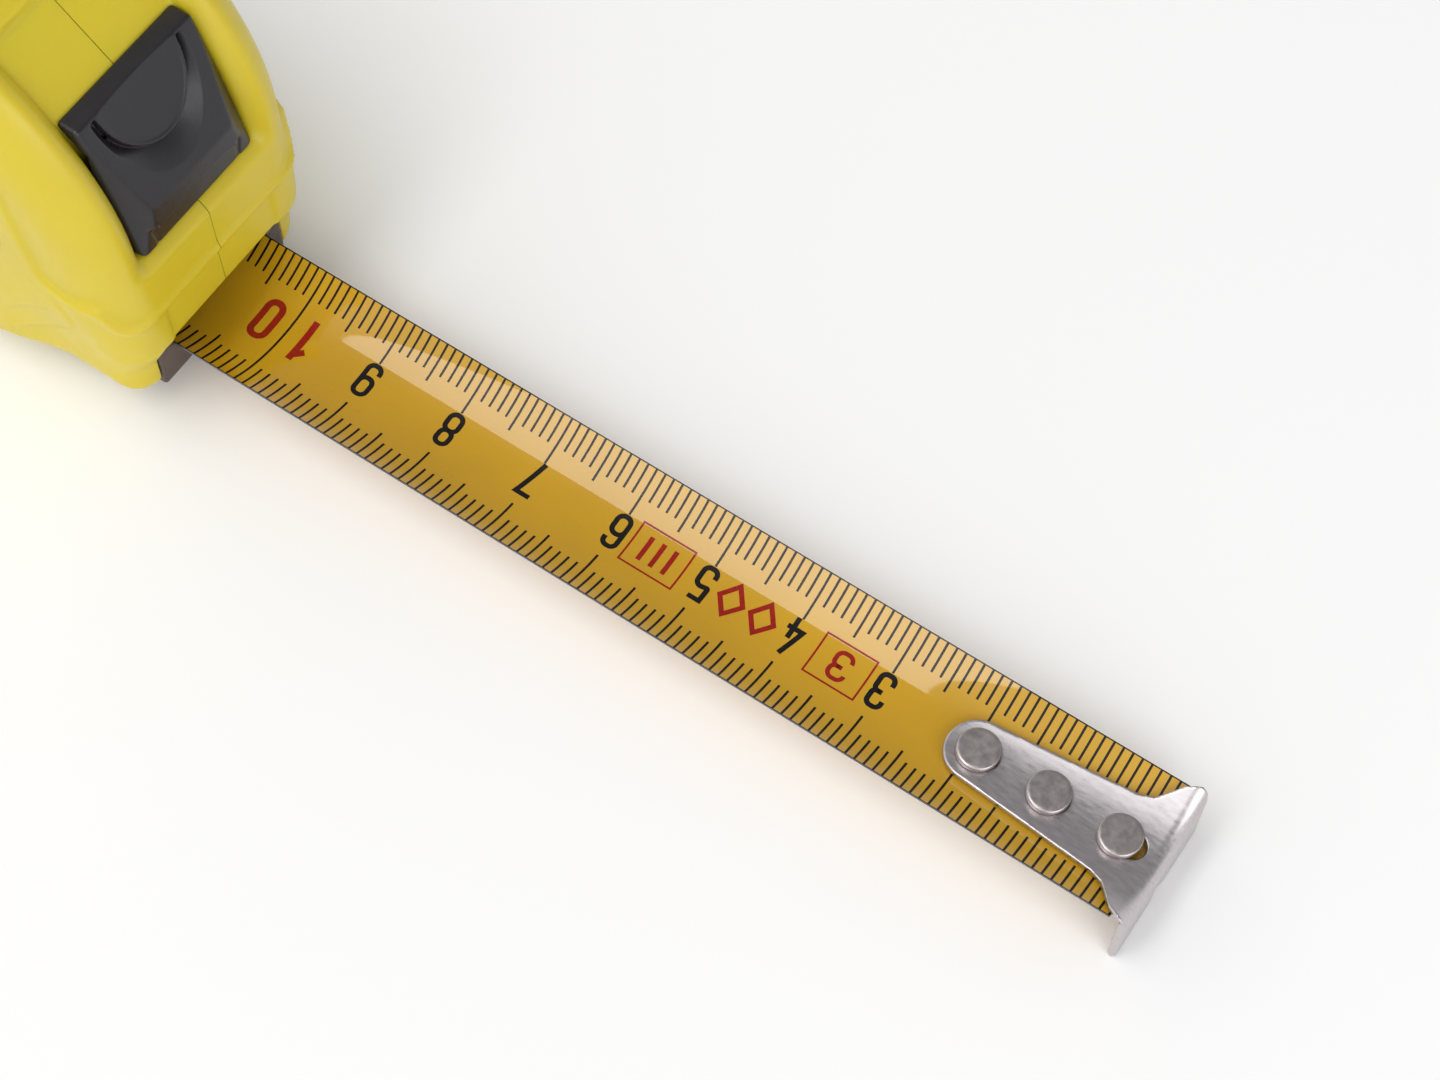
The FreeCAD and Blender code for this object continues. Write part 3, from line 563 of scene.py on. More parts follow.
def case_shell(grid, beside):
    """Field of the whole case; beside is how far a point is from the middle plane."""
    x, z = grid.x, grid.z
    outline = grid.side_view(case_outline())
    edge_deep = EDGE_DEEP + EDGE_MORE * smooth_step(6.0, 20.0, z)
    taper = TAPER * smooth_step(9.0, 18.0, x) * (1.0 - smooth_step(3.0, 21.0, z))
    half = CASE_HALF - 0.5 - taper
    crown = CROWN * np.clip((11.0 - beside) / 2.4, 0.0, 1.0) ** 2
    crown = crown * smooth_step(SHELF_Z - 1.5, SHELF_Z + 0.8, z) * smooth_step(8.0, 14.0, x)
    top = outline + crown
    past = np.hypot(np.maximum(top + edge_deep, 0.0) / edge_deep,
                    np.maximum(beside - half + EDGE_WIDE, 0.0) / EDGE_WIDE) - 1.0
    deep = np.maximum((top + edge_deep) / edge_deep,
                      (beside - half + EDGE_WIDE) / EDGE_WIDE) - 1.0
    centre = -1.0 + 1e-6
    body = np.where(past > centre, past, np.minimum(deep, centre)) * EDGE_SCALE

    line = grid.side_view(step_line())
    blend = max(0.32, CASE_VOXEL)
    corner = smooth_step(8.5, 12.5, beside)
    panel = PANEL_STEP * corner * (1.0 - smooth_step(-2 * blend, 0.0, line))
    bead = BEAD_HIGH * np.exp(-((line + BEAD_BACK) / BEAD_WIDE) ** 2) * smooth_step(20.0, 24.0, x)
    chin = CHIN_STEP * smooth_step(-blend, blend, MOUTH_HALF - 1.6 - beside)
    chin = chin * smooth_step(24.0, 25.0, x) * (1.0 - smooth_step(13.4, 13.9, z))
    ledge = grip_raise(x, z, GRIP_STEP, 0.75 * blend) * smooth_step(10.0, 12.0, beside)
    body = body - panel - bead - ledge + chin
    return np.maximum(body, beside - CASE_HALF)


def side_block(x, z, beside, block, half_wide):
    """Block with a (middle, half size) rectangle seen from the side, as wide each way."""
    (middle_x, middle_z), (half_x, half_z) = block
    seen = np.maximum(np.abs(x - middle_x) - half_x, np.abs(z - middle_z) - half_z)
    return np.maximum(seen, beside - half_wide)


def case_openings(grid, body, beside):
    """The case without the button's recess, the mouth and the rooms inside."""
    x, z = grid.x, grid.z
    body = carve(body, np.maximum(grid.side_view(recess_outline()), beside - RECESS_HALF), 0.32)
    mouth = np.maximum(np.maximum(BUMPER_LOW.x - x, z - LIP_Z), beside - MOUTH_HALF)
    body = carve(body, mouth, 0.35)
    run_in = np.maximum(np.maximum(RUN_IN_X - x, z - LIP_Z), WALL - z)
    run_in = np.maximum(run_in, beside - MOUTH_HALF)
    lock_room = side_block(x, z, beside, LOCK_ROOM, MOUTH_HALF)
    tongue_way = side_block(x, z, beside, TONGUE_WAY, TONGUE_HALF)
    cavity = np.maximum(grid.side_view(cavity_outline()), beside - CASE_HALF + WALL)
    for hollow in (run_in, lock_room, tongue_way, cavity):
        body = np.maximum(body, -hollow)
    return body


def trim_to_parting(made, side):
    """Cut the half at the parting plane and close the cut, so its edge is a true line."""
    work = bmesh.new()
    work.from_mesh(made.data)
    cut = bmesh.ops.bisect_plane(
        work, geom=work.verts[:] + work.edges[:] + work.faces[:], dist=1e-7,
        plane_co=(0, side * PARTING_GAP * MM, 0), plane_no=(0, -side, 0), clear_outer=True)
    edges = [item for item in cut["geom_cut"] if isinstance(item, bmesh.types.BMEdge)]
    bmesh.ops.triangle_fill(work, use_beauty=True, edges=edges)
    work.to_mesh(made.data)
    work.free()
    finish_shading(made, SHARP_ANGLE)


def add_case_half(side, material):
    """side is -1 for the right half, with the label, and +1 for the left, with the clip."""
    node = "left_case" if side > 0 else "right_case"
    name = "case_left_shell" if side > 0 else "case_right_shell"
    near, far = sorted((-2 * CASE_VOXEL * side, side * (CASE_HALF + 2 * CASE_VOXEL)))
    grid = Grid((BACK_X - 1, near, -1), (LIP_X + 1.2, far, TOP_Z + 1), CASE_VOXEL)
    beside = np.maximum(side * grid.y, -2.0)
    body = case_openings(grid, case_shell(grid, beside), beside)
    if side < 0:
        seat = np.hypot(grid.x, grid.z - REEL_Z) - LABEL_RADIUS - LABEL_ROOM
        body = carve(body, np.maximum(seat, CASE_HALF - LABEL_SINK - beside), SOFT_EDGE)
    else:
        for screw in CASE_SCREWS:
            low, high = box_mm(screw)
            middle = (low + high) / 2
            sink = np.hypot(grid.x - middle.x, grid.z - middle.z)
            sink = sink - (high.x - low.x) / 2 - SCREW_ROOM
            body = carve(body, np.maximum(sink, high.y - SCREW_SINK - beside), SOFT_EDGE)
    made = mesh_object(name, *grid.mesh(body), material)
    trim_to_parting(made, side)
    place(made, "case", "case_yellow", node)


# ------------------------------------------------------------------- lock button

BUTTON_VOXEL = 0.115
PAD_X, NOSE_X, NOSE_Z = 22.4, 27.1, 26.8
INNER_X, INNER_Z, LEG_X = 24.9, 26.4, 26.9
FLANK_NORMAL, FLANK_AT = (0.750, 0.633, 0.190), 29.2
# Half ovals of the pad and of the groove's outer edge: how far down the pad and how wide.
OVAL_FROM, PAD_OVAL, GROOVE_OVAL = 0.3, (6.9, 5.6), (10.4, 6.5)
GROOVE_DEEP, DISH_DEEP, RIM_HIGH = 1.25, 0.22, 0.1
ARCH_X, ARCH_Z, ARCH_HALF, LEG_HALF = 26.85, 23.9, 6.1, 5.9


def padded_grid(low, high, step, room=0.6):
    """Grid round a box, with room for its surface on every side."""
    around = Vector((room, room, room))
    return Grid(low - around, high + around, step)


def add_lock_button(material):
    """Thumb slide: D-shaped pad, crescent groove round it, leaning flanks and two legs."""
    low, high = BUTTON_LOW, BUTTON_HIGH
    grid = padded_grid(low, high, BUTTON_VOXEL)
    x, y, z = grid.x, grid.y, grid.z
    beside = np.abs(y)
    inner = DROP_X + 3.0 * math.cos(RAMP_ANGLE) + 0.15
    side = rounded_line([
        (low.x, ramp_height(low.x) + 0.05, 0.25), (PAD_X, high.z, 0.5), (24.75, 32.7, 12.0),
        (NOSE_X, NOSE_Z, 2.2), (high.x, low.z, 0.4), (INNER_X, low.z, 0.3), (24.6, INNER_Z, 0.3),
        (inner, 31.5, 0), (inner, ramp_height(inner) + 0.05, 0)])
    body = meet(grid.side_view(side), beside - high.y, 0.55)
    flank = FLANK_NORMAL[0] * x + FLANK_NORMAL[1] * beside + FLANK_NORMAL[2] * z - FLANK_AT
    body = meet(body, flank, SOFT_EDGE)

    chord = Vector((NOSE_X - PAD_X, NOSE_Z - high.z)).normalized()
    along = (x - PAD_X) * chord.x + (z - high.z) * chord.y
    above = -(x - PAD_X) * chord.y + (z - high.z) * chord.x
    down = np.maximum(along - OVAL_FROM, 0.0)
    inner_arc = np.hypot(down / PAD_OVAL[0], y / PAD_OVAL[1])
    outer_arc = np.hypot(down / GROOVE_OVAL[0], y / GROOVE_OVAL[1])
    across = np.clip((1.0 - outer_arc) / np.maximum(inner_arc - outer_arc, 1e-3), 0.0, 1.0)
    wall = smooth_step(1.0, 1.05, inner_arc)
    groove = GROOVE_DEEP * wall * across * smooth_step(0.2, 0.9, along)
    dish = DISH_DEEP * np.clip(1.0 - inner_arc ** 2, 0.0, 1.0)
    rim = RIM_HIGH * np.exp(-((inner_arc - 0.975) / 0.03) ** 2)
    body = np.maximum(body, above + groove + dish - rim)

    arch = np.maximum(ARCH_X - x, beside - ARCH_HALF - 0.4 * smooth_step(22.0, 24.5, z))
    arch = np.maximum(arch, z - ARCH_Z - 0.7 * (1.0 - (y / ARCH_HALF) ** 2))
    body = carve(body, arch, SOFT_EDGE)
    leg = np.maximum(LEG_X - x, z - 24.6)
    body = carve(body, np.maximum(leg, -(beside - LEG_HALF)), SOFT_EDGE)
    made = mesh_object("lock_thumb_slide", *grid.mesh(body), material)
    place(made, "lock", "lock_black", "lock_button")


# ------------------------------------------------------------------ mouth insert

BLADE_ARC = 14.2
BLADE_LOW_Z = 3.3
BLADE_AXIS_Z = BLADE_LOW_Z + BLADE_ARC
BLADE_THICK = 0.14
BUMPER_VOXEL = 0.16
GROOVE_HALF, GROOVE_DOWN = 2.6, 0.9


def add_mouth_bumper(material):
    """Rubber block under the blade, hollowed to its curve, with a groove and soft edges."""
    low, high = BUMPER_LOW, BUMPER_HIGH
    grid = padded_grid(low, high, BUMPER_VOXEL)
    x, y, z = grid.x, grid.y, grid.z
    middle_x, half_x = (low.x + high.x) / 2, (high.x - low.x) / 2
    side = meet(np.abs(x - middle_x) - half_x, np.maximum(z - high.z, -z), 0.5)
    block = meet(side, np.abs(y) - high.y, 0.35)
    hollow = np.hypot(y, z - BLADE_AXIS_Z) - BLADE_ARC - 0.12
    block = carve(block, hollow, 0.35)
    groove = np.maximum(np.abs(y) - GROOVE_HALF, BLADE_LOW_Z - GROOVE_DOWN - z)
    block = carve(block, groove, SOFT_EDGE)
    made = mesh_object("mouth_rubber", *grid.mesh(block), material)
    place(made, "case", "insert_dark", "mouth_bumper")


# ---------------------------------------------------------------- end hook

HOOK_LOW, HOOK_HIGH = box_mm("end_hook")
HOOK_THICK = 0.9
HOOK_OUTER = BLADE_ARC - BLADE_THICK - 0.03
TIP_X = HOOK_HIGH.x - HOOK_THICK
RIVETS = ("hook_rivet_1", "hook_rivet_2", "hook_rivet_3")
HOOK_VOXEL = 0.13
BEND_RADIUS, TAIL_HALF, BEND_RELIEF = 1.5, 3.2, 0.3
# Half width of the plate at distances back from the bend, from its tail to its wings.
WAIST = ((4.6, 4.5), (3.2, 5.0), (1.4, 7.0))
NOTCH_RADIUS, NOTCH_DOWN, CREASE = 1.6, 0.9, 0.16
SLOT_HALF, FIRST_SLOT, OTHER_SLOT = 1.26, 1.4, 0.8
AXIS_GAP = 0.05


def add_end_hook(material):
    """Stamped plate curved to the blade, with a rolled bend, a flange and rivet slots."""
    low, high = HOOK_LOW, HOOK_HIGH
    grid = padded_grid(low, high, HOOK_VOXEL)
    x, y, z = grid.x, grid.y, grid.z
    beside = np.abs(y)
    from_axis = np.hypot(y, z - BLADE_AXIS_Z)
    top = HOOK_OUTER - HOOK_THICK - from_axis
    shell = meet(top, x - high.x, BEND_RADIUS)
    tail_x = low.x + TAIL_HALF
    half = np.interp(x, (tail_x, *(TIP_X - back for back, _ in WAIST), TIP_X),
                     (TAIL_HALF, *(wide for _, wide in WAIST), high.y))
    plan = beside - half
    tail = np.hypot(x - tail_x, beside) - TAIL_HALF
    plan = np.where(x < tail_x, tail, plan)
    plate = meet(np.maximum(shell, from_axis - HOOK_OUTER), plan, 0.25)
    flange = meet(np.maximum(shell, TIP_X - x), beside - high.y, 0.5)
    notch = np.hypot(y, z - low.z + NOTCH_DOWN) - NOTCH_RADIUS
    bottom = carve(low.z - z, notch, 0.4)
    flange = meet(flange, bottom, SOFT_EDGE)
    crease = CREASE * np.exp(-(y / 0.7) ** 2) * (1.0 - smooth_step(low.z + 0.5, low.z + 5.5, z))
    relief = BEND_RELIEF - np.hypot(x - TIP_X, from_axis - HOOK_OUTER)
    whole = np.maximum(np.minimum(plate, flange + crease), relief)
    for index, rivet in enumerate(RIVETS):
        rivet_low, rivet_high = box_mm(rivet)
        middle = (rivet_low.x + rivet_high.x) / 2
        slot = FIRST_SLOT if index == 0 else OTHER_SLOT
        along = np.clip(x - middle, 0.0, slot)
        whole = carve(whole, np.hypot(x - middle - along, y) - SLOT_HALF, 0.12)
    made = mesh_object("hook_stamping", *grid.mesh(whole), material)
    place(made, "hook", "hook_steel", "end_hook")


def lathe(name, profile, material, centre, axis="Z", around=48):
    """Solid of revolution from (radius, height) points, in millimetres."""
    places, faces = [], []
    count = len(profile)
    for turn in range(around):
        angle = 2 * math.pi * turn / around
        for radius, height in profile:
            across, over = radius * math.cos(angle), radius * math.sin(angle)
            local = (across, over, height) if axis == "Z" else (across, height, over)
            places.append([(centre[i] + local[i]) * MM for i in range(3)])
    for turn in range(around):
        first, second = turn * count, (turn + 1) % around * count
        for index in range(count - 1):
            faces.append((first + index, second + index, second + index + 1, first + index + 1))
    faces.append(tuple(turn * count for turn in range(around)))
    faces.append(tuple((around - 1 - turn) * count + count - 1 for turn in range(around)))
    return mesh_object(name, places, faces, material, CRISP_ANGLE)


def add_rivets(material):
    """Tubular rivet heads with a bright rim and a slightly dished top."""
    for index, node in enumerate(RIVETS, 1):
        low, high = box_mm(node)
        middle = (low + high) / 2
        head = high.z
        rim = (high.x - low.x) / 2 + 0.1
        profile = [
            (AXIS_GAP, low.z), (1.5, low.z), (1.75, low.z + 0.2), (1.75, low.z + 0.42),
            (1.19, low.z + 0.46), (1.19, head - 0.72), (rim - 0.1, head - 0.71),
            (rim, head - 0.6), (rim, head - 0.16), (rim - 0.05, head - 0.06),
            (rim - 0.15, head), (rim - 0.4, head + 0.01), (rim - 1.1, head),
            (AXIS_GAP, head - 0.01)]
        made = lathe(f"rivet_{index}", profile, material, (middle.x, middle.y, 0.0))
        place(made, "blade", "screw_steel", node)


# ------------------------------------------------------------ blade and its print

BLADE_BACK_X = box_mm("blade")[0].x
BLADE_END_X = box_mm("blade")[1].x
BLADE_HALF_ANGLE = math.radians(32.2)
STRAIGHT_X = 14.0
COIL_END_Z = 8.0
COIL_HALF_WIDE = 7.9
FLAT_HALF = BLADE_ARC * BLADE_HALF_ANGLE


def blade_point(x, across, lift):
    """Point of the blade: across is its distance from the middle line, round the curve."""
    radius = BLADE_ARC - lift
    angle = across / BLADE_ARC
    curved = np.array((x, radius * math.sin(angle), BLADE_AXIS_Z - radius * math.cos(angle)))
    if x >= STRAIGHT_X:
        return curved
    share = (STRAIGHT_X - x) / (STRAIGHT_X - BLADE_BACK_X)
    flat = np.array((x, across / FLAT_HALF * COIL_HALF_WIDE, COIL_END_Z + lift))
    return curved + (flat - curved) * share


def add_blade_strip(material, edge_material):
    """Thin curved strip, printed side up, with bare edges where it was slit."""
    lengths = np.concatenate((np.linspace(BLADE_BACK_X, STRAIGHT_X, 15)[:-1],
                              np.linspace(STRAIGHT_X, BLADE_END_X, 121)))
    widths = np.linspace(-FLAT_HALF, FLAT_HALF, 41)
    ring = [(w, 0.0) for w in widths] + [(w, BLADE_THICK) for w in widths[::-1]]
    places = [blade_point(x, w, lift) * MM for x in lengths for w, lift in ring]
    count = len(ring)
    faces = []
    for row in range(len(lengths) - 1):
        for index in range(count):
            after = (index + 1) % count
            faces.append((row * count + index, row * count + after,
                          (row + 1) * count + after, (row + 1) * count + index))
    faces.append(tuple(range(count))[::-1])
    faces.append(tuple((len(lengths) - 1) * count + index for index in range(count)))
    made = mesh_object("blade_strip", places, faces, material, CRISP_ANGLE)
    made.data.materials.append(edge_material)
    slit = (len(widths) - 1, count - 1)
    for index, face in enumerate(made.data.polygons):
        face.material_index = int(index % count in slit)
    return made


# Figures as runs of (right, up, corner radius), right and up going from -1 to 1: closed, corners.
TAIL_6 = [(-1, -0.3, 0), (-1, 1, 0.85), (1, 1, 0.85), (1, 0.5, 0)]
LOOP_6 = [(-1, 0.15, 0.9), (1, 0.15, 0.9), (1, -1, 0.9), (-1, -1, 0.9)]
FIGURES = {
    "0": [(True, [(-1, 1, 0.95), (1, 1, 0.95), (1, -1, 0.95), (-1, -1, 0.95)])],
    "1": [(False, [(-0.9, 0.45, 0), (0.35, 0.86, 0)]),
          (False, [(0.35, -1.17, 0), (0.35, 1.17, 0)])],
    "3": [(False, [(-1, 0.5, 0), (-1, 1, 0.8), (1, 1, 0.8), (1, 0.06, 0.6), (-0.3, 0.06, 0)]),
          (False, [(0.0, 0.06, 0), (1, 0.06, 0.6), (1, -1, 0.8), (-1, -1, 0.8), (-1, -0.5, 0)])],
    "4": [(False, [(0.2, 1.17, 0), (-1, -0.5, 0), (1.3, -0.5, 0)]),
          (False, [(0.45, 0.15, 0), (0.45, -1.17, 0)])],
    "5": [(False, [(0.9, 1, 0), (-0.9, 1, 0), (-0.95, 0.12, 0.2), (1, 0.25, 0.8), (1, -1, 0.8),
                   (-1, -1, 0.8), (-1, -0.5, 0)])],
    "6": [(False, TAIL_6), (True, LOOP_6)],
    "7": [(False, [(-1.2, 1, 0), (1, 1, 0), (-0.35, -1.17, 0)])],
    "8": [(True, [(-1, 0.06, 0.9), (1, 0.06, 0.9), (1, -1, 0.9), (-1, -1, 0.9)]),
          (True, [(-0.92, 1, 0.85), (0.92, 1, 0.85), (0.92, 0.06, 0.85), (-0.92, 0.06, 0.85)])],
    "9": [(False, [(-u, -v, r) for u, v, r in TAIL_6]),
          (True, [(-u, -v, r) for u, v, r in LOOP_6])],
}


class Print:
    """Thin printed shapes lying on the blade, as one mesh for each ink."""

    LIFT = BLADE_THICK + 0.012
    PATCH_WIDE, PATCH_LONG, STROKE_LONG = 0.4, 2.5, 0.6

    def __init__(self):
        self.places = []
        self.faces = []

    def bar(self, from_tip, low, high, thick):
        """Bar across the blade at a distance from its tip."""
        self.patch(from_tip - thick / 2, from_tip + thick / 2, low, high)

    def patch(self, start, end, low, high):
        """Rectangle, divided finely enough to follow the curve."""
        across = max(1, math.ceil((high - low) / self.PATCH_WIDE))
        along = max(1, math.ceil((end - start) / self.PATCH_LONG))
        first = len(self.places)
        for i in range(along + 1):
            for j in range(across + 1):
                x = TIP_X - (start + (end - start) * i / along)
                self.places.append(blade_point(x, low + (high - low) * j / across, self.LIFT) * MM)
        for i in range(along):
            for j in range(across):
                corner = first + i * (across + 1) + j
                self.faces.append((corner, corner + across + 1, corner + across + 2, corner + 1))

    def frame(self, start, end, low, high, thick):
        """Rectangular outline."""
        self.patch(start, start + thick, low, high)
        self.patch(end - thick, end, low, high)
        self.patch(start + thick, end - thick, low, low + thick)
        self.patch(start + thick, end - thick, high - thick, high)

    def stroke(self, corners, thick, closed, from_tip, across):
        """Band along a run of (right, up, radius) corners, up being towards the -Y edge."""
        run = rounded_line(corners, closed, steps=6)
        pieces = []
        count = len(run)
        for index in range(count if closed else count - 1):
            start, end = run[index], run[(index + 1) % count]
            parts = max(1, math.ceil(np.linalg.norm(end - start) / self.STROKE_LONG))
            pieces += [start + (end - start) * part / parts for part in range(parts)]
        if not closed:
            pieces.append(run[-1])
        line = np.array(pieces)
        count = len(line)
        first = len(self.places)
        for index in range(count):
            before = line[index - 1] if closed or index > 0 else line[0]
            after = line[(index + 1) % count] if closed or index < count - 1 else line[-1]
            steps = [line[index] - before, after - line[index]]
            normals = [np.array((-s[1], s[0])) / np.linalg.norm(s)
                       for s in steps if np.linalg.norm(s) > NO_STEP]
            normal = sum(normals) / len(normals)
            normal = normal / (normal @ normal)
            for side in (-0.5, 0.5):
                right, up = line[index] + normal * thick * side
                x = TIP_X - from_tip - right
                self.places.append(blade_point(x, across - up, self.LIFT) * MM)
        for index in range(count if closed else count - 1):
            a, b = first + 2 * index, first + 2 * ((index + 1) % count)
            self.faces.append((a, b, b + 1, a + 1))

    def figure(self, digit, from_tip, across, wide, high, thick):
        """Condensed upright figure, its top towards the right-hand edge (-Y)."""
        for closed, corners in FIGURES[digit]:
            side, end = (wide - thick) / 2, (high - thick) / 2
            fitted = [(u * side, v * end, r * side) for u, v, r in corners]
            self.stroke(fitted, thick, closed, from_tip, across)

    def make(self, name, material):
        """The object, with every face turned up."""
        mesh = bpy.data.meshes.new(name)
        mesh.from_pydata([tuple(p) for p in self.places], [], self.faces)
        mesh.materials.append(material)
        made = bpy.data.objects.new(name, mesh)
        bpy.context.collection.objects.link(made)
        work = bmesh.new()
        work.from_mesh(mesh)
        work.normal_update()
        bmesh.ops.reverse_faces(work, faces=[face for face in work.faces if face.normal.z < 0])
        work.to_mesh(mesh)
        work.free()
        return made


MINOR, MEDIUM, MAJOR = 3.3, 4.3, 5.3
TICK = 0.24
DIGIT_WIDE, DIGIT_HIGH, DIGIT_THICK = 1.95, 4.1, 0.52
DIGIT_ACROSS = 0.55
EDGE_LINE = 0.12
LAST_MARK_X = 16
TEN_HIGH, TEN_THICK = 5.0, 0.72
BOX_HALF, BOX_LINE = 2.4, 0.2


def black_print():
    """Millimetre scale along both edges and the figures of the centimetres."""
    ink = Print()
    first = TIP_X - BLADE_END_X + 0.1
    last = int(TIP_X - LAST_MARK_X)
    for step in range(1, last):
        length = MAJOR if step % 10 == 0 else MEDIUM if step % 5 == 0 else MINOR
        if step % 100 == 0:
            ink.bar(step, -FLAT_HALF, FLAT_HALF, TICK)
            continue
        ink.bar(step, -FLAT_HALF, -FLAT_HALF + length, TICK)
        ink.bar(step, FLAT_HALF - length, FLAT_HALF, TICK)
    for edge in (-FLAT_HALF, FLAT_HALF - EDGE_LINE):
        ink.patch(first, last, edge, edge + EDGE_LINE)
    for figure in range(3, 10):
        ink.figure(str(figure), figure * 10, DIGIT_ACROSS, DIGIT_WIDE, DIGIT_HIGH, DIGIT_THICK)
    return ink


def red_print():
    """Ten-centimetre figure either side of its line, and plain generic marks."""
    ink = Print()
    low, high = DIGIT_ACROSS - BOX_HALF, DIGIT_ACROSS + BOX_HALF
    ink.figure("1", 100 - 2.3, DIGIT_ACROSS, 2.2, TEN_HIGH, TEN_THICK)
    ink.figure("0", 100 + 2.5, DIGIT_ACROSS, 2.4, TEN_HIGH, TEN_THICK)
    ink.frame(31.6, 37.4, low, high, BOX_LINE)
    ink.figure("3", 34.5, DIGIT_ACROSS, 2.1, 3.3, 0.45)
    ink.frame(52.2, 58.4, low, high, BOX_LINE)
    for bar in (53.9, 55.3, 56.7):
        ink.bar(bar, DIGIT_ACROSS - 1.4, DIGIT_ACROSS + 1.4, 0.5)
    diamond = [(-1.3, 0, 0), (0, 1.7, 0), (1.3, 0, 0), (0, -1.7, 0)]
    for middle in (43.3, 46.8):
        ink.stroke(diamond, 0.5, True, middle, DIGIT_ACROSS)
    return ink


def add_blade(enamel, edge, black, red):
    """Strip and its two inks, all riding on the blade's body, each with a mesh of its own."""
    strip = add_blade_strip(enamel, edge)
    place(strip, "blade", "blade_yellow", "blade")
    scale = black_print().make("blade_black_print", black)
    marks = red_print().make("blade_red_print", red)
    for piece in (scale, marks):
        place(piece, "blade", "blade_yellow")
    for piece in (strip, scale, marks):
        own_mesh(piece)


# --------------------------------------------------------- label, clip and screws

CLIP_VOXEL = 0.17
CLIP_THICK, CLIP_HOLE, CLIP_NARROWS, CLIP_SHOULDER = 1.0, 1.4, 1.3, 3.0


def add_label(material):
    """Round foil label with a turned-down edge, a hair below the panel."""
    thick = LABEL_HIGH.y - LABEL_LOW.y
    radius = LABEL_RADIUS
    profile = [(AXIS_GAP, thick), (radius, thick), (radius, 0.16), (radius - 0.06, 0.06),
               (radius - 0.2, 0.0), (AXIS_GAP, 0.0)]
    centre = (0.0, LABEL_LOW.y, REEL_Z)
    made = lathe("round_label", profile, material, centre, axis="Y", around=160)
    place(made, "case", "label_silver", "side_label")


def add_belt_clip(material):
    """Bent spring strip: foot under its screw, bow away from the case, flared lip."""
    low, high = box_mm("belt_clip")
    screw_low, screw_high = box_mm("clip_screw")
    screw_z = (screw_low.z + screw_high.z) / 2
    grid = padded_grid(low, high, CLIP_VOXEL)
    x, z = grid.x, grid.z
    face, bow = low.y + CLIP_THICK / 2, high.y - CLIP_THICK / 2
    path = rounded_line([
        (face, high.z - CLIP_THICK / 2, 0), (face, screw_z - 4.1, 2.5), (bow, screw_z - 8.2, 2.5),
        (bow, low.z + 6.5, 3.0), (face + 1.6, low.z + 2.4, 1.5), (face + 3.2, low.z + 0.6, 0)],
        closed=False)
    flat_y, flat_z = np.broadcast_arrays(grid.y[0], grid.z[0])
    strip = line_distance(flat_y, flat_z, path, closed=False)[None, :, :] - CLIP_THICK / 2
    near_top = np.clip((z - high.z + CLIP_SHOULDER) / CLIP_SHOULDER, 0.0, 1.0)
    half = high.x - CLIP_NARROWS * near_top ** 2
    body = meet(strip, np.abs(x) - half, SOFT_EDGE)
    body = carve(body, np.hypot(x, z - screw_z) - CLIP_HOLE, 0.2)
    made = mesh_object("belt_clip_strip", *grid.mesh(body), material)
    place(made, "case", "clip_steel", "belt_clip")


def dress_cad_nodes(materials):
    """Materials for the CAD nodes that stay as they are."""
    for node, material in materials.items():
        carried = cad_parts[node]
        carried.data.materials.clear()
        carried.data.materials.append(material)


FLOOR_HALF, FLOOR_GAP = 3.0, 0.00005


def add_floor():
    """Plain pale floor a hair below the lowest point, the hook."""
    height = cad_low[2] - FLOOR_GAP
    corners = ((-1, -1), (1, -1), (1, 1), (-1, 1))
    places = [(across * FLOOR_HALF, deep * FLOOR_HALF, height) for across, deep in corners]
    material, tree, shader = new_material("floor_paper", 0.9, specular=0.1)
    white = noise(tree, object_point(tree), 2.0)
    colour_between(tree, shader, white, grey(0.93), grey(0.95))
    mesh = bpy.data.meshes.new("floor")
    mesh.from_pydata(places, [], [(0, 1, 2, 3)])
    mesh.materials.append(material)
    floor = bpy.data.objects.new("floor", mesh)
    bpy.context.collection.objects.link(floor)


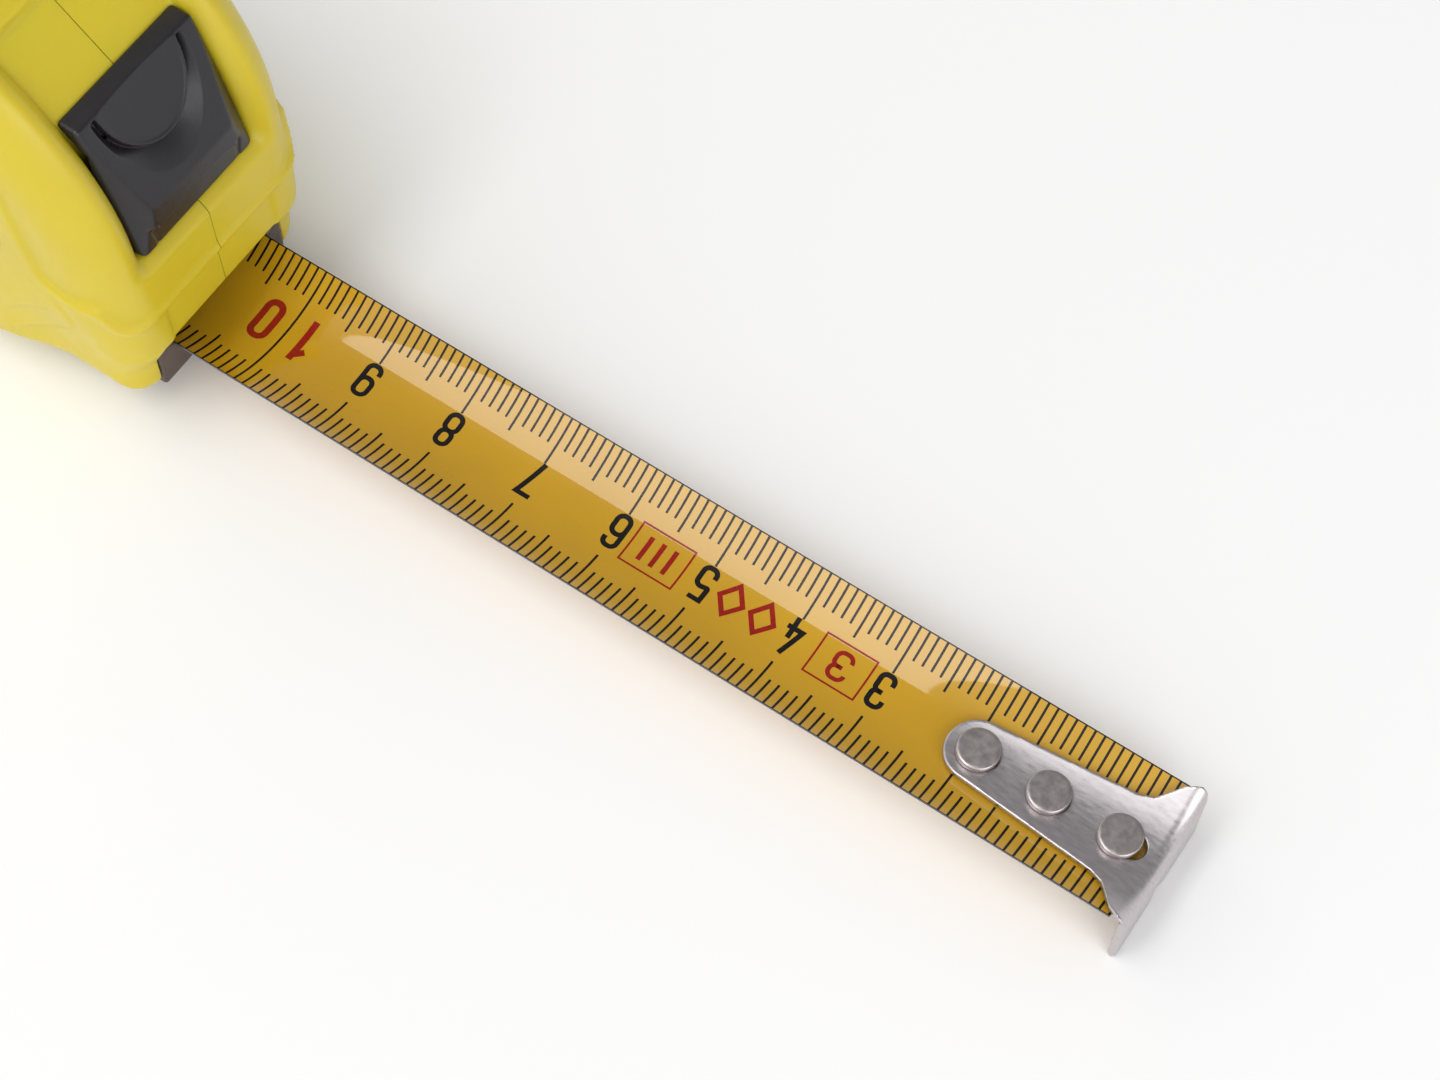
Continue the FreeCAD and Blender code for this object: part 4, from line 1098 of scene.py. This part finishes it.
def build():
    """Materials, then every piece."""
    yellow = moulded_plastic(
        "case_abs", from_srgb(205, 185, 40), gloss=0.40, grain=2600.0, grain_depth=0.00002,
        glow=0.35)
    charcoal = moulded_plastic(
        "lock_abs", from_srgb(30, 28, 33), gloss=0.34, grain=3800.0, grain_depth=0.00004,
        spread=0.1)
    rubber = moulded_plastic(
        "mouth_rubber", from_srgb(70, 58, 52), gloss=0.34, grain=1800.0, grain_depth=0.00003,
        spread=0.12)
    white_plastic = moulded_plastic(
        "reel_plastic", from_srgb(205, 203, 196), gloss=0.45, grain=1500.0, grain_depth=0.00002)
    nickel = brushed_metal(
        "hook_nickel", from_srgb(200, 194, 196), gloss=0.33, along=(1, 4, 4), streak=700.0,
        depth=0.00002)
    rivet_steel = brushed_metal(
        "rivet_steel", from_srgb(186, 178, 177), gloss=0.34, streak=1200.0, depth=0.000003)
    clip_steel = brushed_metal(
        "clip_steel", from_srgb(196, 197, 200), gloss=0.2, along=(6, 1, 1), streak=500.0)
    screw_steel = brushed_metal(
        "screw_steel", from_srgb(150, 150, 155), gloss=0.3, streak=1500.0)
    spring_steel = brushed_metal(
        "spring_steel", from_srgb(120, 124, 135), gloss=0.3, along=(1, 8, 1), streak=400.0)
    enamel = lacquered_blade()
    black = print_ink("black_ink", from_srgb(22, 20, 18))
    red = print_ink("red_ink", from_srgb(141, 26, 18))
    foil = label_foil(REEL_Z * MM, LABEL_RADIUS * MM)

    add_case_half(1, yellow)
    add_case_half(-1, yellow)
    add_lock_button(charcoal)
    add_mouth_bumper(rubber)
    add_blade(enamel, spring_steel, black, red)
    add_end_hook(nickel)
    add_rivets(rivet_steel)
    add_label(foil)
    add_belt_clip(clip_steel)
    dress_cad_nodes({
        "reel": white_plastic, "reel_cover": white_plastic, "blade_coil": enamel,
        "mainspring": spring_steel, "centre_post": screw_steel, "lock_tongue": charcoal,
        "clip_screw": screw_steel, **{screw: screw_steel for screw in CASE_SCREWS}})


add_camera()
add_surroundings()
build()
add_floor()
